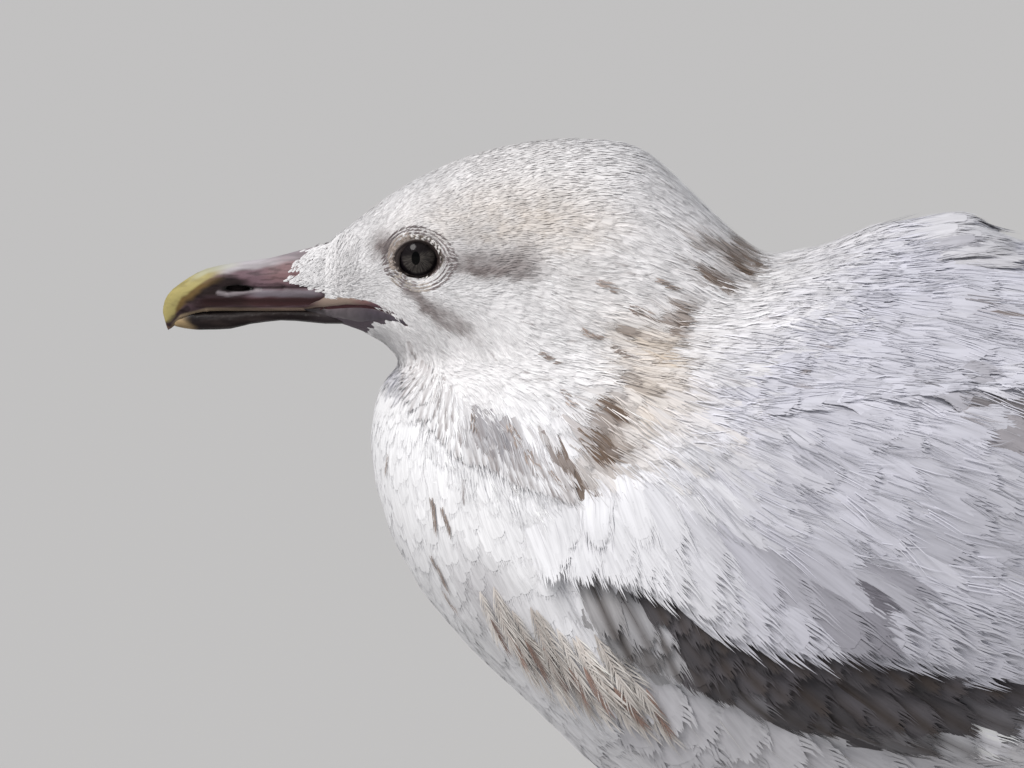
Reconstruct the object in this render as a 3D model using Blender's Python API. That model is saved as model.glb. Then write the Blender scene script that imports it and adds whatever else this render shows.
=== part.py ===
"""A herring gull in its second winter, standing at rest with its neck drawn in, at life size.

The bird faces -X and stands on the floor at Z = 0. Its left side is at -Y, and the plane Y = 0 is its
plane of symmetry. Each named part of the bird is one closed solid:
 - head, neck and trunk are lofts joined into one body and then parted with thin cuts;
 - the wings and their primaries come from one envelope that wraps the body, less the body itself;
 - bill, eyes, tail, legs, feet and claws are solids of their own, set in with a thin gap.
"""

import math
from collections import namedtuple

import bmesh
import bpy
from mathutils import Matrix, Vector

MM = 0.001

# Driving sizes, in millimetres. Lengths along the bird are measured back from the tip of the bill.
TOTAL_LENGTH = 545.0  # tip of the bill to the tips of the folded primaries
GAP = 0.35  # space between neighbouring solids
RING_SIDES = 22  # corners round a loft of the body
CORE_SIDES = 14  # corners round the hidden core that the wings lie on
BODY_STEPS = 1  # rings per rib spacing of the trunk, wings and tail
FACE_STEPS = 2  # and of the head and bill
UPPER_BILL_SIDES = 16
LOWER_BILL_SIDES = 12
TAIL_SIDES = 18

EYE_AT = (76.6, 247.0)  # along and above the floor
EYE_RADIUS = 7.2
EYE_OFFSET = 12.0  # centre of the eyeball from the plane of symmetry
ORBIT_RADII = (9.0, 3.6, 8.0)  # the shallow dish that the eye lies in
ORBIT_OFFSET = 20.6

NOSTRIL_AT = (22.6, 237.3)
NOSTRIL_LENGTH = 9.0
NOSTRIL_HEIGHT = 1.7

WING_SPLIT = 428.0  # the arm of the wing ends here and the bare primaries go on
WING_DEPTH = 7.0  # how deep the folded wing is let into the flank

LEG_AT = 254.0  # where the tarsus meets the toes
LEG_SPREAD = 31.0  # from the plane of symmetry to each foot
ANKLE_BACK = 13.0  # the ankle lies this far behind the toes' root
ANKLE_HEIGHT = 63.0
FOOT_HEIGHT = 3.8  # height of the toes' root

# One rib of a loft: its highest and lowest points in the plane Y = 0, and its half width.
# lean above 0 carries the widest level upwards, and full is the exponent of the section's curve.
Rib = namedtuple("Rib", "top_x top_z low_x low_z half lean full", defaults=(0.0, 2.2))

TRUNK_RIBS = (
    Rib(61.0, 191.0, 61.0, 191.0, 0.0),
    Rib(63.0, 204.0, 63.0, 177.0, 17.0),
    Rib(68.0, 211.5, 68.0, 160.5, 30.0),
    Rib(77.0, 217.0, 77.0, 144.5, 42.0),
    Rib(91.0, 222.0, 91.0, 128.0, 53.0),
    Rib(109.0, 228.0, 109.0, 111.0, 61.5),
    Rib(130.0, 235.0, 130.0, 90.5, 67.5, 0.0, 2.3),
    Rib(155.0, 242.0, 155.0, 78.0, 71.5, 0.03, 2.35),
    Rib(185.0, 247.5, 185.0, 72.0, 73.5, 0.05, 2.35),
    Rib(220.0, 252.5, 220.0, 71.0, 73.5, 0.06, 2.3),
    Rib(238.0, 255.0, 238.0, 73.5, 72.0, 0.06, 2.3),
    Rib(262.0, 251.5, 262.0, 78.5, 69.5, 0.06, 2.3),
    Rib(292.0, 244.5, 292.0, 89.5, 63.5, 0.05, 2.3),
    Rib(325.0, 236.5, 325.0, 106.5, 54.0, 0.03, 2.3),
    Rib(360.0, 226.0, 360.0, 128.0, 43.0, 0.0, 2.2),
    Rib(395.0, 211.5, 395.0, 149.0, 32.0),
    Rib(424.0, 198.0, 424.0, 165.0, 22.0),
    Rib(446.0, 180.5, 446.0, 180.5, 0.0),
)

CORE_RIBS = (*TRUNK_RIBS[:-6:2], *TRUNK_RIBS[-6:])

HEAD_RIBS = (
    Rib(41.0, 246.5, 41.0, 230.0, 3.5),
    Rib(47.0, 249.3, 47.0, 227.4, 8.0),
    Rib(54.0, 254.0, 54.0, 225.8, 11.2),
    Rib(61.0, 259.6, 61.0, 223.3, 14.2, 0.05),
    Rib(69.0, 265.5, 67.5, 219.5, 17.3, 0.05),
    Rib(80.0, 271.8, 72.0, 213.5, 20.6, 0.04),
    Rib(94.0, 277.4, 78.0, 208.0, 23.6, 0.02),
    Rib(110.0, 281.0, 84.0, 200.0, 27.0),
    Rib(127.5, 282.0, 93.0, 188.0, 32.0, -0.06),
    Rib(141.0, 280.0, 106.0, 174.0, 38.0, -0.10),
    Rib(152.0, 272.0, 122.0, 160.0, 44.0, -0.12),
    Rib(164.0, 260.0, 142.0, 150.0, 49.5, -0.12),
    Rib(177.0, 249.0, 166.0, 142.0, 52.0, -0.10),
    Rib(190.0, 240.0, 190.0, 150.0, 45.0),
)

WING_RIBS = (
    Rib(91.0, 223.0, 91.0, 127.0, 54.0),
    Rib(109.0, 229.5, 109.0, 109.5, 63.0),
    Rib(130.0, 237.0, 130.0, 88.5, 69.3, 0.0, 2.3),
    Rib(155.0, 244.5, 155.0, 75.5, 73.8, 0.03, 2.35),
    Rib(185.0, 250.5, 185.0, 69.5, 76.3, 0.05, 2.35),
    Rib(220.0, 255.5, 220.0, 68.5, 77.0, 0.06, 2.3),
    Rib(245.0, 256.5, 245.0, 71.5, 76.0, 0.06, 2.3),
    Rib(290.0, 249.0, 290.0, 84.0, 70.5, 0.05, 2.3),
    Rib(330.0, 241.5, 330.0, 103.0, 62.0, 0.02, 2.3),
    Rib(370.0, 233.5, 370.0, 123.0, 52.0, 0.0, 2.2),
    Rib(410.0, 223.5, 410.0, 143.0, 41.0, 0.0, 2.1),
    Rib(450.0, 211.5, 450.0, 160.0, 29.5, 0.0, 2.0),
    Rib(490.0, 200.5, 490.0, 174.0, 19.0, 0.0, 2.0),
    Rib(522.0, 194.0, 522.0, 181.0, 11.0, 0.0, 2.0),
    Rib(TOTAL_LENGTH + 4.0, 189.5, TOTAL_LENGTH + 4.0, 186.0, 6.0, 0.0, 2.0),
)

TAIL_RIBS = (
    Rib(384.0, 190.5, 384.0, 184.5, 16.0, 0.0, 2.6),
    Rib(405.0, 188.5, 405.0, 181.5, 21.0, 0.0, 2.8),
    Rib(440.0, 184.0, 440.0, 178.0, 26.0, 0.0, 3.0),
    Rib(475.0, 179.0, 475.0, 174.5, 29.0, 0.0, 3.0),
    Rib(489.0, 176.5, 489.0, 173.5, 27.0, 0.0, 3.0),
    Rib(493.5, 175.5, 493.5, 173.7, 20.0, 0.0, 2.6),
)

UPPER_BILL_RIBS = (
    Rib(0.2, 229.8, 1.6, 224.0, 0.7),
    Rib(0.8, 233.2, 4.4, 226.4, 1.7),
    Rib(3.0, 236.5, 7.0, 228.4, 2.7),
    Rib(7.5, 239.9, 10.0, 229.5, 3.7, -0.1),
    Rib(13.0, 242.7, 14.0, 230.0, 4.5, -0.2),
    Rib(22.0, 244.6, 22.0, 230.0, 5.1, -0.25),
    Rib(32.0, 245.9, 32.0, 229.9, 5.8, -0.25),
    Rib(42.0, 248.5, 42.0, 229.9, 6.7, -0.2),
    Rib(50.0, 250.2, 50.0, 230.0, 7.2, -0.15),
)

LOWER_BILL_RIBS = (
    Rib(5.2, 226.4, 5.2, 224.8, 1.0),
    Rib(7.4, 227.9, 7.4, 224.4, 2.0),
    Rib(12.0, 229.3, 12.0, 224.4, 2.9),
    Rib(20.0, 229.6, 20.0, 224.7, 3.7),
    Rib(26.0, 229.6, 26.0, 226.2, 4.1, 0.1),
    Rib(35.0, 229.5, 35.0, 227.2, 4.8, 0.1),
    Rib(44.0, 229.5, 44.0, 226.8, 5.6, 0.1),
    Rib(50.0, 229.6, 50.0, 226.2, 6.0, 0.1),
)

# The cuts that part the body: a point on each plane and its slope from the throat to the nape.
HEAD_CUT = ((146.0, 281.0), (71.5, 217.0))
NECK_CUT = ((181.0, 250.0), (63.5, 207.0))

# The folded wing seen from the side: corners of a smooth closed outline.
WING_OUTLINE = (
    (122.0, 158.0),
    (133.0, 185.0),
    (160.0, 206.0),
    (205.0, 217.0),
    (255.0, 222.0),
    (300.0, 236.0),
    (330.0, 262.0),
    (430.0, 262.0),
    (570.0, 215.0),
    (570.0, 186.0),
    (485.0, 185.0),
    (432.0, 176.0),
    (388.0, 149.0),
    (340.0, 120.0),
    (295.0, 108.0),
    (245.0, 107.0),
    (195.0, 117.0),
    (155.0, 131.0),
    (130.0, 143.0),
)

# The wedge of the back that shows between the folded wings, from above, and the notch between their tips.
BACK_WEDGE = ((262.0, 46.0), (300.0, 30.0), (346.0, 0.0))
TIP_NOTCH = ((452.0, 0.0), (500.0, 2.2), (570.0, 4.6))

# Toes of the left foot: angle outwards from straight ahead, length without the claw, and root radius.
Toe = namedtuple("Toe", "name turn length radius")
TOES = (
    Toe("inner", -24.0, 38.0, 2.5),
    Toe("middle", 2.0, 50.0, 2.8),
    Toe("outer", 27.0, 46.0, 2.6),
)
SOLE_SHARE = 0.86  # a toe's centre line lies this share of its radius above the floor
CLAW_LENGTH = 8.0
CLAW_RADIUS = 1.7
WEB_THICKNESS = 1.3
HALLUX_HEIGHT = 8.0
HALLUX_LENGTH = 8.0

COLOURS = {
    "plumage": (0.72, 0.71, 0.71, 0.8, 0.0),
    "flight": (0.10, 0.085, 0.075, 0.6, 0.0),
    "bill": (0.42, 0.34, 0.30, 0.35, 0.0),
    "eye": (0.05, 0.045, 0.04, 0.08, 0.0),
    "leg": (0.50, 0.33, 0.31, 0.5, 0.0),
    "claw": (0.06, 0.05, 0.045, 0.3, 0.0),
}


def clear_scene():
    for obj in list(bpy.data.objects):
        bpy.data.objects.remove(obj)


def new_collection(name):
    collection = bpy.data.collections.new(name)
    bpy.context.scene.collection.children.link(collection)
    return collection


def material(slot):
    """The Principled material of a slot, made the first time that it is asked for."""
    found = bpy.data.materials.get(slot)
    if found:
        return found
    red, green, blue, roughness, metallic = COLOURS[slot]
    made = bpy.data.materials.new(slot)
    made.use_nodes = True
    shader = made.node_tree.nodes["Principled BSDF"]
    shader.inputs["Base Color"].default_value = (red, green, blue, 1.0)
    shader.inputs["Roughness"].default_value = roughness
    shader.inputs["Metallic"].default_value = metallic
    return made


def point(along, side, height):
    """A point of the bird, from millimetres behind the bill's tip, to the side and above the floor."""
    return Vector(((along - TOTAL_LENGTH / 2) * MM, side * MM, height * MM))


def add_mesh(name, build, collection, slot=None):
    """A new object whose mesh is made by build(bm)."""
    mesh = bpy.data.meshes.new(name)
    bm = bmesh.new()
    build(bm)
    bmesh.ops.recalc_face_normals(bm, faces=bm.faces)
    bm.to_mesh(mesh)
    bm.free()
    obj = bpy.data.objects.new(name, mesh)
    collection.objects.link(obj)
    if slot:
        mesh.materials.append(material(slot))
    return obj


def bake_modifiers(obj):
    """Replaces the object's mesh with its evaluated one."""
    bpy.context.view_layer.update()
    evaluated = obj.evaluated_get(bpy.context.evaluated_depsgraph_get())
    baked = bpy.data.meshes.new_from_object(evaluated)
    obj.modifiers.clear()
    obj.data = baked


def boolean(obj, cutter, operation="DIFFERENCE"):
    modifier = obj.modifiers.new(f"{operation.lower()} {cutter.name}", "BOOLEAN")
    modifier.operation = operation
    modifier.solver = "EXACT"
    modifier.object = cutter
    return modifier


def hide_helper(obj):
    obj.hide_render = True
    obj.display_type = "WIRE"
    return obj


def blend_ribs(before, start, end, after, share):
    """Catmull-Rom between start and end, value by value."""
    values = []
    for a, b, c, d in zip(before, start, end, after):
        curve = (2 * a - 5 * b + 4 * c - d) * share + (3 * b - a - 3 * c + d) * share**2
        values.append(b + 0.5 * share * ((c - a) + curve))
    return Rib(*values)


def mirrored_rib(rib):
    """The rib turned through a pole, so that a loft leaves the pole smoothly."""
    return Rib(rib.low_x, rib.low_z, rib.top_x, rib.top_z, -rib.half, rib.lean, rib.full)


def end_rib(end, inner):
    """The rib beyond an end of a loft: its mirror at a pole, and a straight run on elsewhere."""
    if end.half == 0.0:
        return mirrored_rib(inner)
    return Rib(*[2 * e - i for e, i in zip(end, inner)])


def all_ribs(ribs, steps):
    """The given ribs with steps - 1 more between each two."""
    padded = [end_rib(ribs[0], ribs[1]), *ribs, end_rib(ribs[-1], ribs[-2])]
    found = []
    for i in range(1, len(ribs)):
        for step in range(steps):
            found.append(blend_ribs(*padded[i - 1 : i + 3], step / steps))
    return [*found, ribs[-1]]


def rib_ring(rib, sides, grow=0.0):
    """The points of one rib, made larger by grow on every side."""
    top = Vector((rib.top_x, rib.top_z))
    low = Vector((rib.low_x, rib.low_z))
    centre = (top + low) / 2
    up = (top - low) / 2
    if up.length > 0 and grow:
        up = up * ((up.length + grow) / up.length)
    half = rib.half + grow if rib.half > 0 else rib.half
    ring = []
    for i in range(sides):
        angle = 2 * math.pi * i / sides
        cos, sin = math.cos(angle), math.sin(angle)
        height = math.copysign(abs(cos) ** (2 / rib.full), cos)
        side = math.copysign(abs(sin) ** (2 / rib.full), sin)
        along, level = centre + up * height
        ring.append(point(along, half * side * (1 + rib.lean * height), level))
    return ring


def loft(name, ribs, collection, slot=None, sides=RING_SIDES, steps=BODY_STEPS, grow=0.0):
    """A closed loft through the ribs. An end rib of no width is a pole, and any other is capped."""

    def build(bm):
        rings = []
        for rib in all_ribs(ribs, steps):
            if rib.half == 0.0:
                rings.append([bm.verts.new(rib_ring(rib, 1)[0])])
            else:
                rings.append([bm.verts.new(p) for p in rib_ring(rib, sides, grow)])
        for near, far in zip(rings, rings[1:]):
            for i in range(sides):
                j = (i + 1) % sides
                corners = [near[i % len(near)], near[j % len(near)]]
                corners += [far[j % len(far)], far[i % len(far)]]
                bm.faces.new(list(dict.fromkeys(corners)))
        for ring in (rings[0], rings[-1]):
            if len(ring) > 1:
                bm.faces.new(ring)
        # One fixed diagonal, so that a grown loft's triangles lie evenly outside those of the loft itself.
        bmesh.ops.triangulate(bm, faces=bm.faces, quad_method="FIXED", ngon_method="BEAUTY")

    return add_mesh(name, build, collection, slot)


def ellipsoid(name, centre, radii, collection, slot=None, segments=24, rings=16):
    def build(bm):
        made = bmesh.ops.create_uvsphere(bm, u_segments=segments, v_segments=rings, radius=1.0)
        scale = Matrix.Diagonal((*[r * MM for r in radii], 1.0))
        bmesh.ops.transform(bm, matrix=Matrix.Translation(centre) @ scale, verts=made["verts"])

    return add_mesh(name, build, collection, slot)


def grown_copy(obj, name, collection, grow=GAP):
    """A cutter: the object's shape with every wall moved out by grow."""
    copy = bpy.data.objects.new(name, obj.data.copy())
    collection.objects.link(copy)
    displace = copy.modifiers.new("grow", "DISPLACE")
    displace.strength = grow * MM
    displace.mid_level = 0.0
    bake_modifiers(copy)
    return hide_helper(copy)


def cut_plane(line, shift=0.0):
    """Origin and backward normal of the cut through two points of the side view, moved back by shift."""
    nape, throat = (Vector(p) for p in line)
    run = nape - throat
    normal = Vector((run.y, 0.0, -run.x)).normalized()
    return point(throat.x, 0.0, throat.y) + normal * shift * MM, normal


def slab_of(whole, name, collection, front=None, back=None):
    """The stretch of the whole body behind the front cut and ahead of the back cut."""

    def build(bm):
        bm.from_mesh(whole.data)
        for cut, shift, ahead in ((front, GAP / 2, False), (back, -GAP / 2, True)):
            if cut is None:
                continue
            origin, normal = cut_plane(cut, shift)
            found = bmesh.ops.bisect_plane(
                bm,
                geom=[*bm.verts, *bm.edges, *bm.faces],
                plane_co=origin,
                plane_no=normal,
                clear_outer=ahead,
                clear_inner=not ahead,
            )
            rim = [e for e in found["geom_cut"] if isinstance(e, bmesh.types.BMEdge)]
            bmesh.ops.holes_fill(bm, edges=rim, sides=0)

    return add_mesh(name, build, collection, "plumage")


def outline_prism(name, corners, collection, axis, low, high, smooth=True):
    """A closed prism: an outline in the plane across the axis, from low to high along it."""
    curve = bpy.data.curves.new(name, "CURVE")
    curve.dimensions = "2D"
    curve.fill_mode = "BOTH"
    curve.extrude = (high - low) / 2 * MM
    curve.resolution_u = 3
    spline = curve.splines.new("BEZIER" if smooth else "POLY")
    if smooth:
        spline.bezier_points.add(len(corners) - 1)
        for knot, (x, y) in zip(spline.bezier_points, corners):
            knot.co = ((x - TOTAL_LENGTH / 2) * MM, y * MM, 0.0)
            knot.handle_left_type = knot.handle_right_type = "AUTO"
    else:
        spline.points.add(len(corners) - 1)
        for knot, (x, y) in zip(spline.points, corners):
            knot.co = ((x - TOTAL_LENGTH / 2) * MM, y * MM, 0.0, 1.0)
    spline.use_cyclic_u = True
    guide = bpy.data.objects.new(name + " outline", curve)
    collection.objects.link(guide)
    middle = (low + high) / 2 * MM
    if axis == "Y":  # the outline's own Y becomes the bird's Z
        guide.matrix_world = Matrix.Translation((0, middle, 0)) @ Matrix.Rotation(math.pi / 2, 4, "X")
    else:
        guide.matrix_world = Matrix.Translation((0, 0, middle))
    bpy.context.view_layer.update()
    mesh = bpy.data.meshes.new_from_object(guide.evaluated_get(bpy.context.evaluated_depsgraph_get()))
    mesh.transform(guide.matrix_world)
    bpy.data.objects.remove(guide)

    def build(bm):
        bm.from_mesh(mesh)
        bmesh.ops.remove_doubles(bm, verts=bm.verts, dist=0.01 * MM)

    return hide_helper(add_mesh(name, build, collection))


def block(name, low, high, collection):
    """A box between two corners of the bird's own measures."""
    start, end = point(*low), point(*high)

    def build(bm):
        made = bmesh.ops.create_cube(bm, size=1.0)
        size = Matrix.Diagonal((*(end - start), 1.0))
        bmesh.ops.transform(bm, matrix=Matrix.Translation((start + end) / 2) @ size, verts=made["verts"])

    return hide_helper(add_mesh(name, build, collection))


def make_bill(parts, cutters):
    """The two halves of the bill, with a nostril slit right through the upper one."""
    upper = loft("bill_upper", UPPER_BILL_RIBS, parts, "bill", UPPER_BILL_SIDES, FACE_STEPS)
    loft("bill_lower", LOWER_BILL_RIBS, parts, "bill", LOWER_BILL_SIDES, FACE_STEPS)
    nostril = ellipsoid(
        "nostril",
        point(NOSTRIL_AT[0], 0.0, NOSTRIL_AT[1]),
        (NOSTRIL_LENGTH / 2, 12.0, NOSTRIL_HEIGHT / 2),
        cutters,
        segments=12,
        rings=6,
    )
    boolean(upper, hide_helper(nostril))
    sockets = [
        hide_helper(loft("upper bill socket", UPPER_BILL_RIBS, cutters, None, UPPER_BILL_SIDES, FACE_STEPS, GAP)),
        hide_helper(loft("lower bill socket", LOWER_BILL_RIBS, cutters, None, LOWER_BILL_SIDES, FACE_STEPS, GAP)),
    ]
    extend_backwards(sockets[0], 1.0)
    extend_backwards(sockets[1], 1.0)
    return sockets


def extend_backwards(cutter, reach):
    """Moves the cutter's rearmost ring back, so that what it holds has room behind it."""
    rear = max(v.co.x for v in cutter.data.vertices)
    for vertex in cutter.data.vertices:
        if vertex.co.x > rear - 0.01 * MM:
            vertex.co.x += reach * MM


def make_eyes(parts, cutters):
    """Both eyeballs, and the sockets and shallow orbits that the head is cut with."""
    cuts = []
    for side, name in ((-1, "left"), (1, "right")):
        centre = point(EYE_AT[0], side * EYE_OFFSET, EYE_AT[1])
        ellipsoid(f"eye_{name}", centre, (EYE_RADIUS,) * 3, parts, "eye", 16, 8)
        socket = ellipsoid(f"{name} socket", centre, (EYE_RADIUS + GAP,) * 3, cutters, None, 16, 8)
        dish_centre = point(EYE_AT[0], side * ORBIT_OFFSET, EYE_AT[1])
        orbit = ellipsoid(f"{name} orbit", dish_centre, ORBIT_RADII, cutters, None, 14, 8)
        cuts += [hide_helper(socket), hide_helper(orbit)]
    return cuts


def make_body(parts, cutters):
    """Head, neck and trunk: one joined body, parted by two thin cuts."""
    whole = loft("whole body", TRUNK_RIBS, cutters)
    front = hide_helper(loft("head and neck", HEAD_RIBS, cutters, steps=FACE_STEPS))
    boolean(whole, front, "UNION")
    bake_modifiers(whole)
    hide_helper(whole)
    head = slab_of(whole, "head", parts, back=HEAD_CUT)
    slab_of(whole, "neck", parts, front=HEAD_CUT, back=NECK_CUT)
    trunk = slab_of(whole, "trunk", parts, front=NECK_CUT)
    return whole, head, trunk


def make_tail(parts, cutters, trunk):
    loft("tail", TAIL_RIBS, parts, "flight", sides=TAIL_SIDES)
    slot = hide_helper(loft("tail slot", TAIL_RIBS, cutters, sides=TAIL_SIDES, grow=GAP))
    boolean(trunk, slot)
    return slot


def make_wings(parts, cutters, trunk, tail_slot):
    """Both folded wings, let into the flanks: an envelope cut to the wing's outline, less the trunk's core."""
    reach = 120.0
    core = hide_helper(loft("trunk core", CORE_RIBS, cutters, None, CORE_SIDES, 1, -WING_DEPTH))
    core_room = loft("core clearance", CORE_RIBS, cutters, None, CORE_SIDES, 1, GAP - WING_DEPTH)
    hide_helper(core_room)
    outline = outline_prism("wing outline", WING_OUTLINE, cutters, "Y", -reach, reach)
    wedge_corners = [*BACK_WEDGE, *[(x, -y) for x, y in reversed(BACK_WEDGE[:-1])]]
    wedge = outline_prism("back wedge", wedge_corners, cutters, "Z", 205.0, 300.0, smooth=False)
    notch_corners = [*TIP_NOTCH, *[(x, -y) for x, y in reversed(TIP_NOTCH[1:])]]
    notch = outline_prism("tip notch", notch_corners, cutters, "Z", 150.0, 300.0, smooth=False)
    recess = grown_copy(outline, "wing recess", cutters, GAP * math.sqrt(2))
    boolean(recess, core)
    boolean(recess, wedge)
    bake_modifiers(recess)
    boolean(trunk, recess)
    wedge_room = grown_copy(wedge, "wedge clearance", cutters, GAP * math.sqrt(2))
    front, rear, floor, sky = 50.0, TOTAL_LENGTH, 20.0, 320.0
    for sign, side in ((-1, "left"), (1, "right")):
        near, far = sorted((sign * GAP, sign * reach))
        stretches = (
            ("wing", front, WING_SPLIT - GAP / 2, "plumage", wedge_room),
            ("primaries", WING_SPLIT + GAP / 2, rear, "flight", notch),
        )
        for name, start, end, slot, gusset in stretches:
            part = loft(f"{name}_{side}", WING_RIBS, parts, slot)
            room = block(f"{name} {side} room", (start, near, floor), (end, far, sky), cutters)
            boolean(part, room, "INTERSECT")
            boolean(part, outline, "INTERSECT")
            boolean(part, gusset)
            boolean(part, core_room)
            boolean(part, tail_slot)


def tapered_limb(name, stops, collection, slot, sides=12, flatten=1.0):
    """A limb through stops of (x, y, z, radius) in the bird's measures, with rounded ends."""

    def build(bm):
        rings = []
        count = len(stops)
        for i, (x, y, z, radius) in enumerate(stops):
            centre = point(x, y, z)
            ahead = point(*stops[min(i + 1, count - 1)][:3])
            behind = point(*stops[max(i - 1, 0)][:3])
            turn = (ahead - behind).to_track_quat("Z", "Y").to_matrix()
            ring = []
            for k in range(sides):
                angle = 2 * math.pi * k / sides
                offset = Vector((math.cos(angle), math.sin(angle) * flatten, 0.0))
                ring.append(bm.verts.new(centre + turn @ offset * radius * MM))
            rings.append(ring)
        for near, far in zip(rings, rings[1:]):
            for k in range(sides):
                j = (k + 1) % sides
                bm.faces.new((near[k], near[j], far[j], far[k]))
        bm.faces.new(rings[0])
        bm.faces.new(rings[-1])

    return add_mesh(name, build, collection, slot)


def make_legs(parts, cutters, whole):
    """Feathered thighs, bare tarsi, webbed feet, hind toes and claws."""
    clearance = grown_copy(whole, "body clearance", cutters)
    for sign, side in ((-1, "left"), (1, "right")):
        y = sign * LEG_SPREAD
        ankle = (LEG_AT + ANKLE_BACK, y, ANKLE_HEIGHT)
        thigh = tapered_limb(
            f"thigh_{side}",
            (
                (LEG_AT - 4.0, y, 104.0, 17.0),
                (LEG_AT + 2.0, y, 88.0, 15.5),
                (LEG_AT + 8.0, y, 76.0, 10.5),
                (LEG_AT + ANKLE_BACK - 1.5, y, ANKLE_HEIGHT + 4.5, 6.0),
            ),
            parts,
            "plumage",
            sides=14,
        )
        boolean(thigh, clearance)
        tarsus = make_tarsus(parts, side, y, ankle)
        boolean(thigh, grown_copy(tarsus, f"{side} tarsus clearance", cutters))
        make_foot(parts, cutters, side, sign, y)


def make_tarsus(parts, side, y, ankle):
    top = ankle[2] + 4.5 - GAP
    stops = []
    lean = ANKLE_BACK / (ANKLE_HEIGHT - FOOT_HEIGHT)
    for height, radius in ((top, 4.2), (62.0, 4.9), (56.0, 4.0), (46.0, 3.2), (24.0, 3.0), (13.0, 3.4), (6.6, 3.9)):
        stops.append((LEG_AT + (height - FOOT_HEIGHT) * lean, y, height, radius))
    return tapered_limb(f"tarsus_{side}", stops, parts, "leg", sides=12, flatten=0.8)


def make_foot(parts, cutters, side, sign, y):
    """Three toes and the webs between them in one solid, cut flat at the floor, with loose claws."""
    root = (LEG_AT, y, FOOT_HEIGHT)
    tips = []
    toes = []
    for toe in TOES:
        turn = math.radians(toe.turn) * sign
        ahead = (-math.cos(turn), math.sin(turn))
        knuckles = ((0.0, 1.25), (0.3, 1.1), (0.45, 0.85), (0.65, 1.0), (0.82, 0.75), (1.0, 0.8))
        stops = []
        for share, swell in knuckles:
            radius = toe.radius * swell * (1.0 - 0.25 * share)
            reach = toe.length * share
            height = max(radius * SOLE_SHARE, FOOT_HEIGHT * (1.0 - share * 3.5))
            stops.append((root[0] + ahead[0] * reach, root[1] + ahead[1] * reach, height, radius))
        toes.append(tapered_limb(f"{side} {toe.name} toe", stops, cutters, "leg", sides=7))
        tips.append((root[0] + ahead[0] * toe.length, root[1] + ahead[1] * toe.length))
        make_claw(parts, cutters, f"claw_{side}_{toe.name}", stops[-1], ahead, -0.22)
    foot = ellipsoid(f"foot_{side}", point(root[0] + 0.5, root[1], root[2] + 0.2), (5.2, 4.8, 4.4), parts, "leg", 12, 8)
    web = make_web(cutters, side, root, tips)
    for piece in (*toes, web):
        boolean(foot, hide_helper(piece), "UNION")
    ground = block(f"{side} ground", (root[0] - 90, y - 80, -20.0), (root[0] + 40, y + 80, 0.0), cutters)
    boolean(foot, ground)
    boolean(foot, bpy.data.objects[f"{side} tarsus clearance"])
    hallux_stops = (
        (LEG_AT + 3.0, y, HALLUX_HEIGHT + 0.4, 1.9),
        (LEG_AT + 6.0, y, HALLUX_HEIGHT - 0.6, 1.8),
        (LEG_AT + 6.0 + HALLUX_LENGTH * 0.6, y, HALLUX_HEIGHT - 2.2, 1.3),
    )
    hallux = tapered_limb(f"hallux_{side}", hallux_stops, parts, "leg", sides=8)
    boolean(hallux, bpy.data.objects[f"{side} tarsus clearance"])
    bake_modifiers(foot)
    boolean(hallux, grown_copy(foot, f"{side} foot clearance", cutters))
    make_claw(parts, cutters, f"claw_{side}_hind", hallux_stops[-1], (1.0, 0.0), -0.5, 0.6)


def make_web(cutters, side, root, tips):
    """A fan between the toes, scalloped between their tips."""
    corners = [(root[0] + 1.0, root[1])]
    for i, tip in enumerate(tips):
        corners.append((root[0] + (tip[0] - root[0]) * 0.93, root[1] + (tip[1] - root[1]) * 0.93))
        if i + 1 < len(tips):
            after = tips[i + 1]
            middle = ((tip[0] + after[0]) / 2, (tip[1] + after[1]) / 2)
            corners.append((root[0] + (middle[0] - root[0]) * 0.82, root[1] + (middle[1] - root[1]) * 0.82))
    return outline_prism(f"{side} web", corners, cutters, "Z", 0.5, 0.5 + WEB_THICKNESS, smooth=False)


def make_claw(parts, cutters, name, tip_stop, ahead, dip, scale=1.0):
    """A short curved cone that starts a gap ahead of the end of its toe."""
    x, y, z, radius = tip_stop
    stops = []
    for share, swell in ((0.0, 1.0), (0.35, 0.9), (0.7, 0.55), (1.0, 0.18)):
        reach = GAP + share * CLAW_LENGTH * scale
        height = z + dip * reach * share
        thickness = min(CLAW_RADIUS * scale, radius * 0.92) * swell
        stops.append((x + ahead[0] * reach, y + ahead[1] * reach, max(height, thickness * 0.9), thickness))
    claw = tapered_limb(name, stops, parts, "claw", sides=8)
    ground = block(f"{name} ground", (x - 30, y - 30, -20.0), (x + 30, y + 30, 0.0), cutters)
    boolean(claw, ground)


def shade(parts):
    for obj in parts.objects:
        bake_modifiers(obj)
        obj.data.shade_smooth()
        obj.data.set_sharp_from_angle(angle=math.radians(40))


def main():
    clear_scene()
    parts = new_collection("seagull")
    cutters = new_collection("cutters")
    whole, head, trunk = make_body(parts, cutters)
    for cut in (*make_bill(parts, cutters), *make_eyes(parts, cutters)):
        boolean(head, cut)
    tail_slot = make_tail(parts, cutters, trunk)
    make_wings(parts, cutters, trunk, tail_slot)
    make_legs(parts, cutters, whole)
    shade(parts)


main()
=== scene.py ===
# %% [markdown]
# # A young herring gull, life size
#
# The bird stands at rest with its neck drawn in. Its solids come in as a fixed frame: bill, head, neck,
# trunk, wings, tail, legs and eyes. This lesson dresses them. One skin takes the place of all the flesh,
# thousands of small feathers are laid over it in the way that a coat really lies, and the bare parts get
# their own finish.

import math
from collections import namedtuple

import bpy
import numpy as np
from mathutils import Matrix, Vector, kdtree, noise
from mathutils.bvhtree import BVHTree


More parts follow.
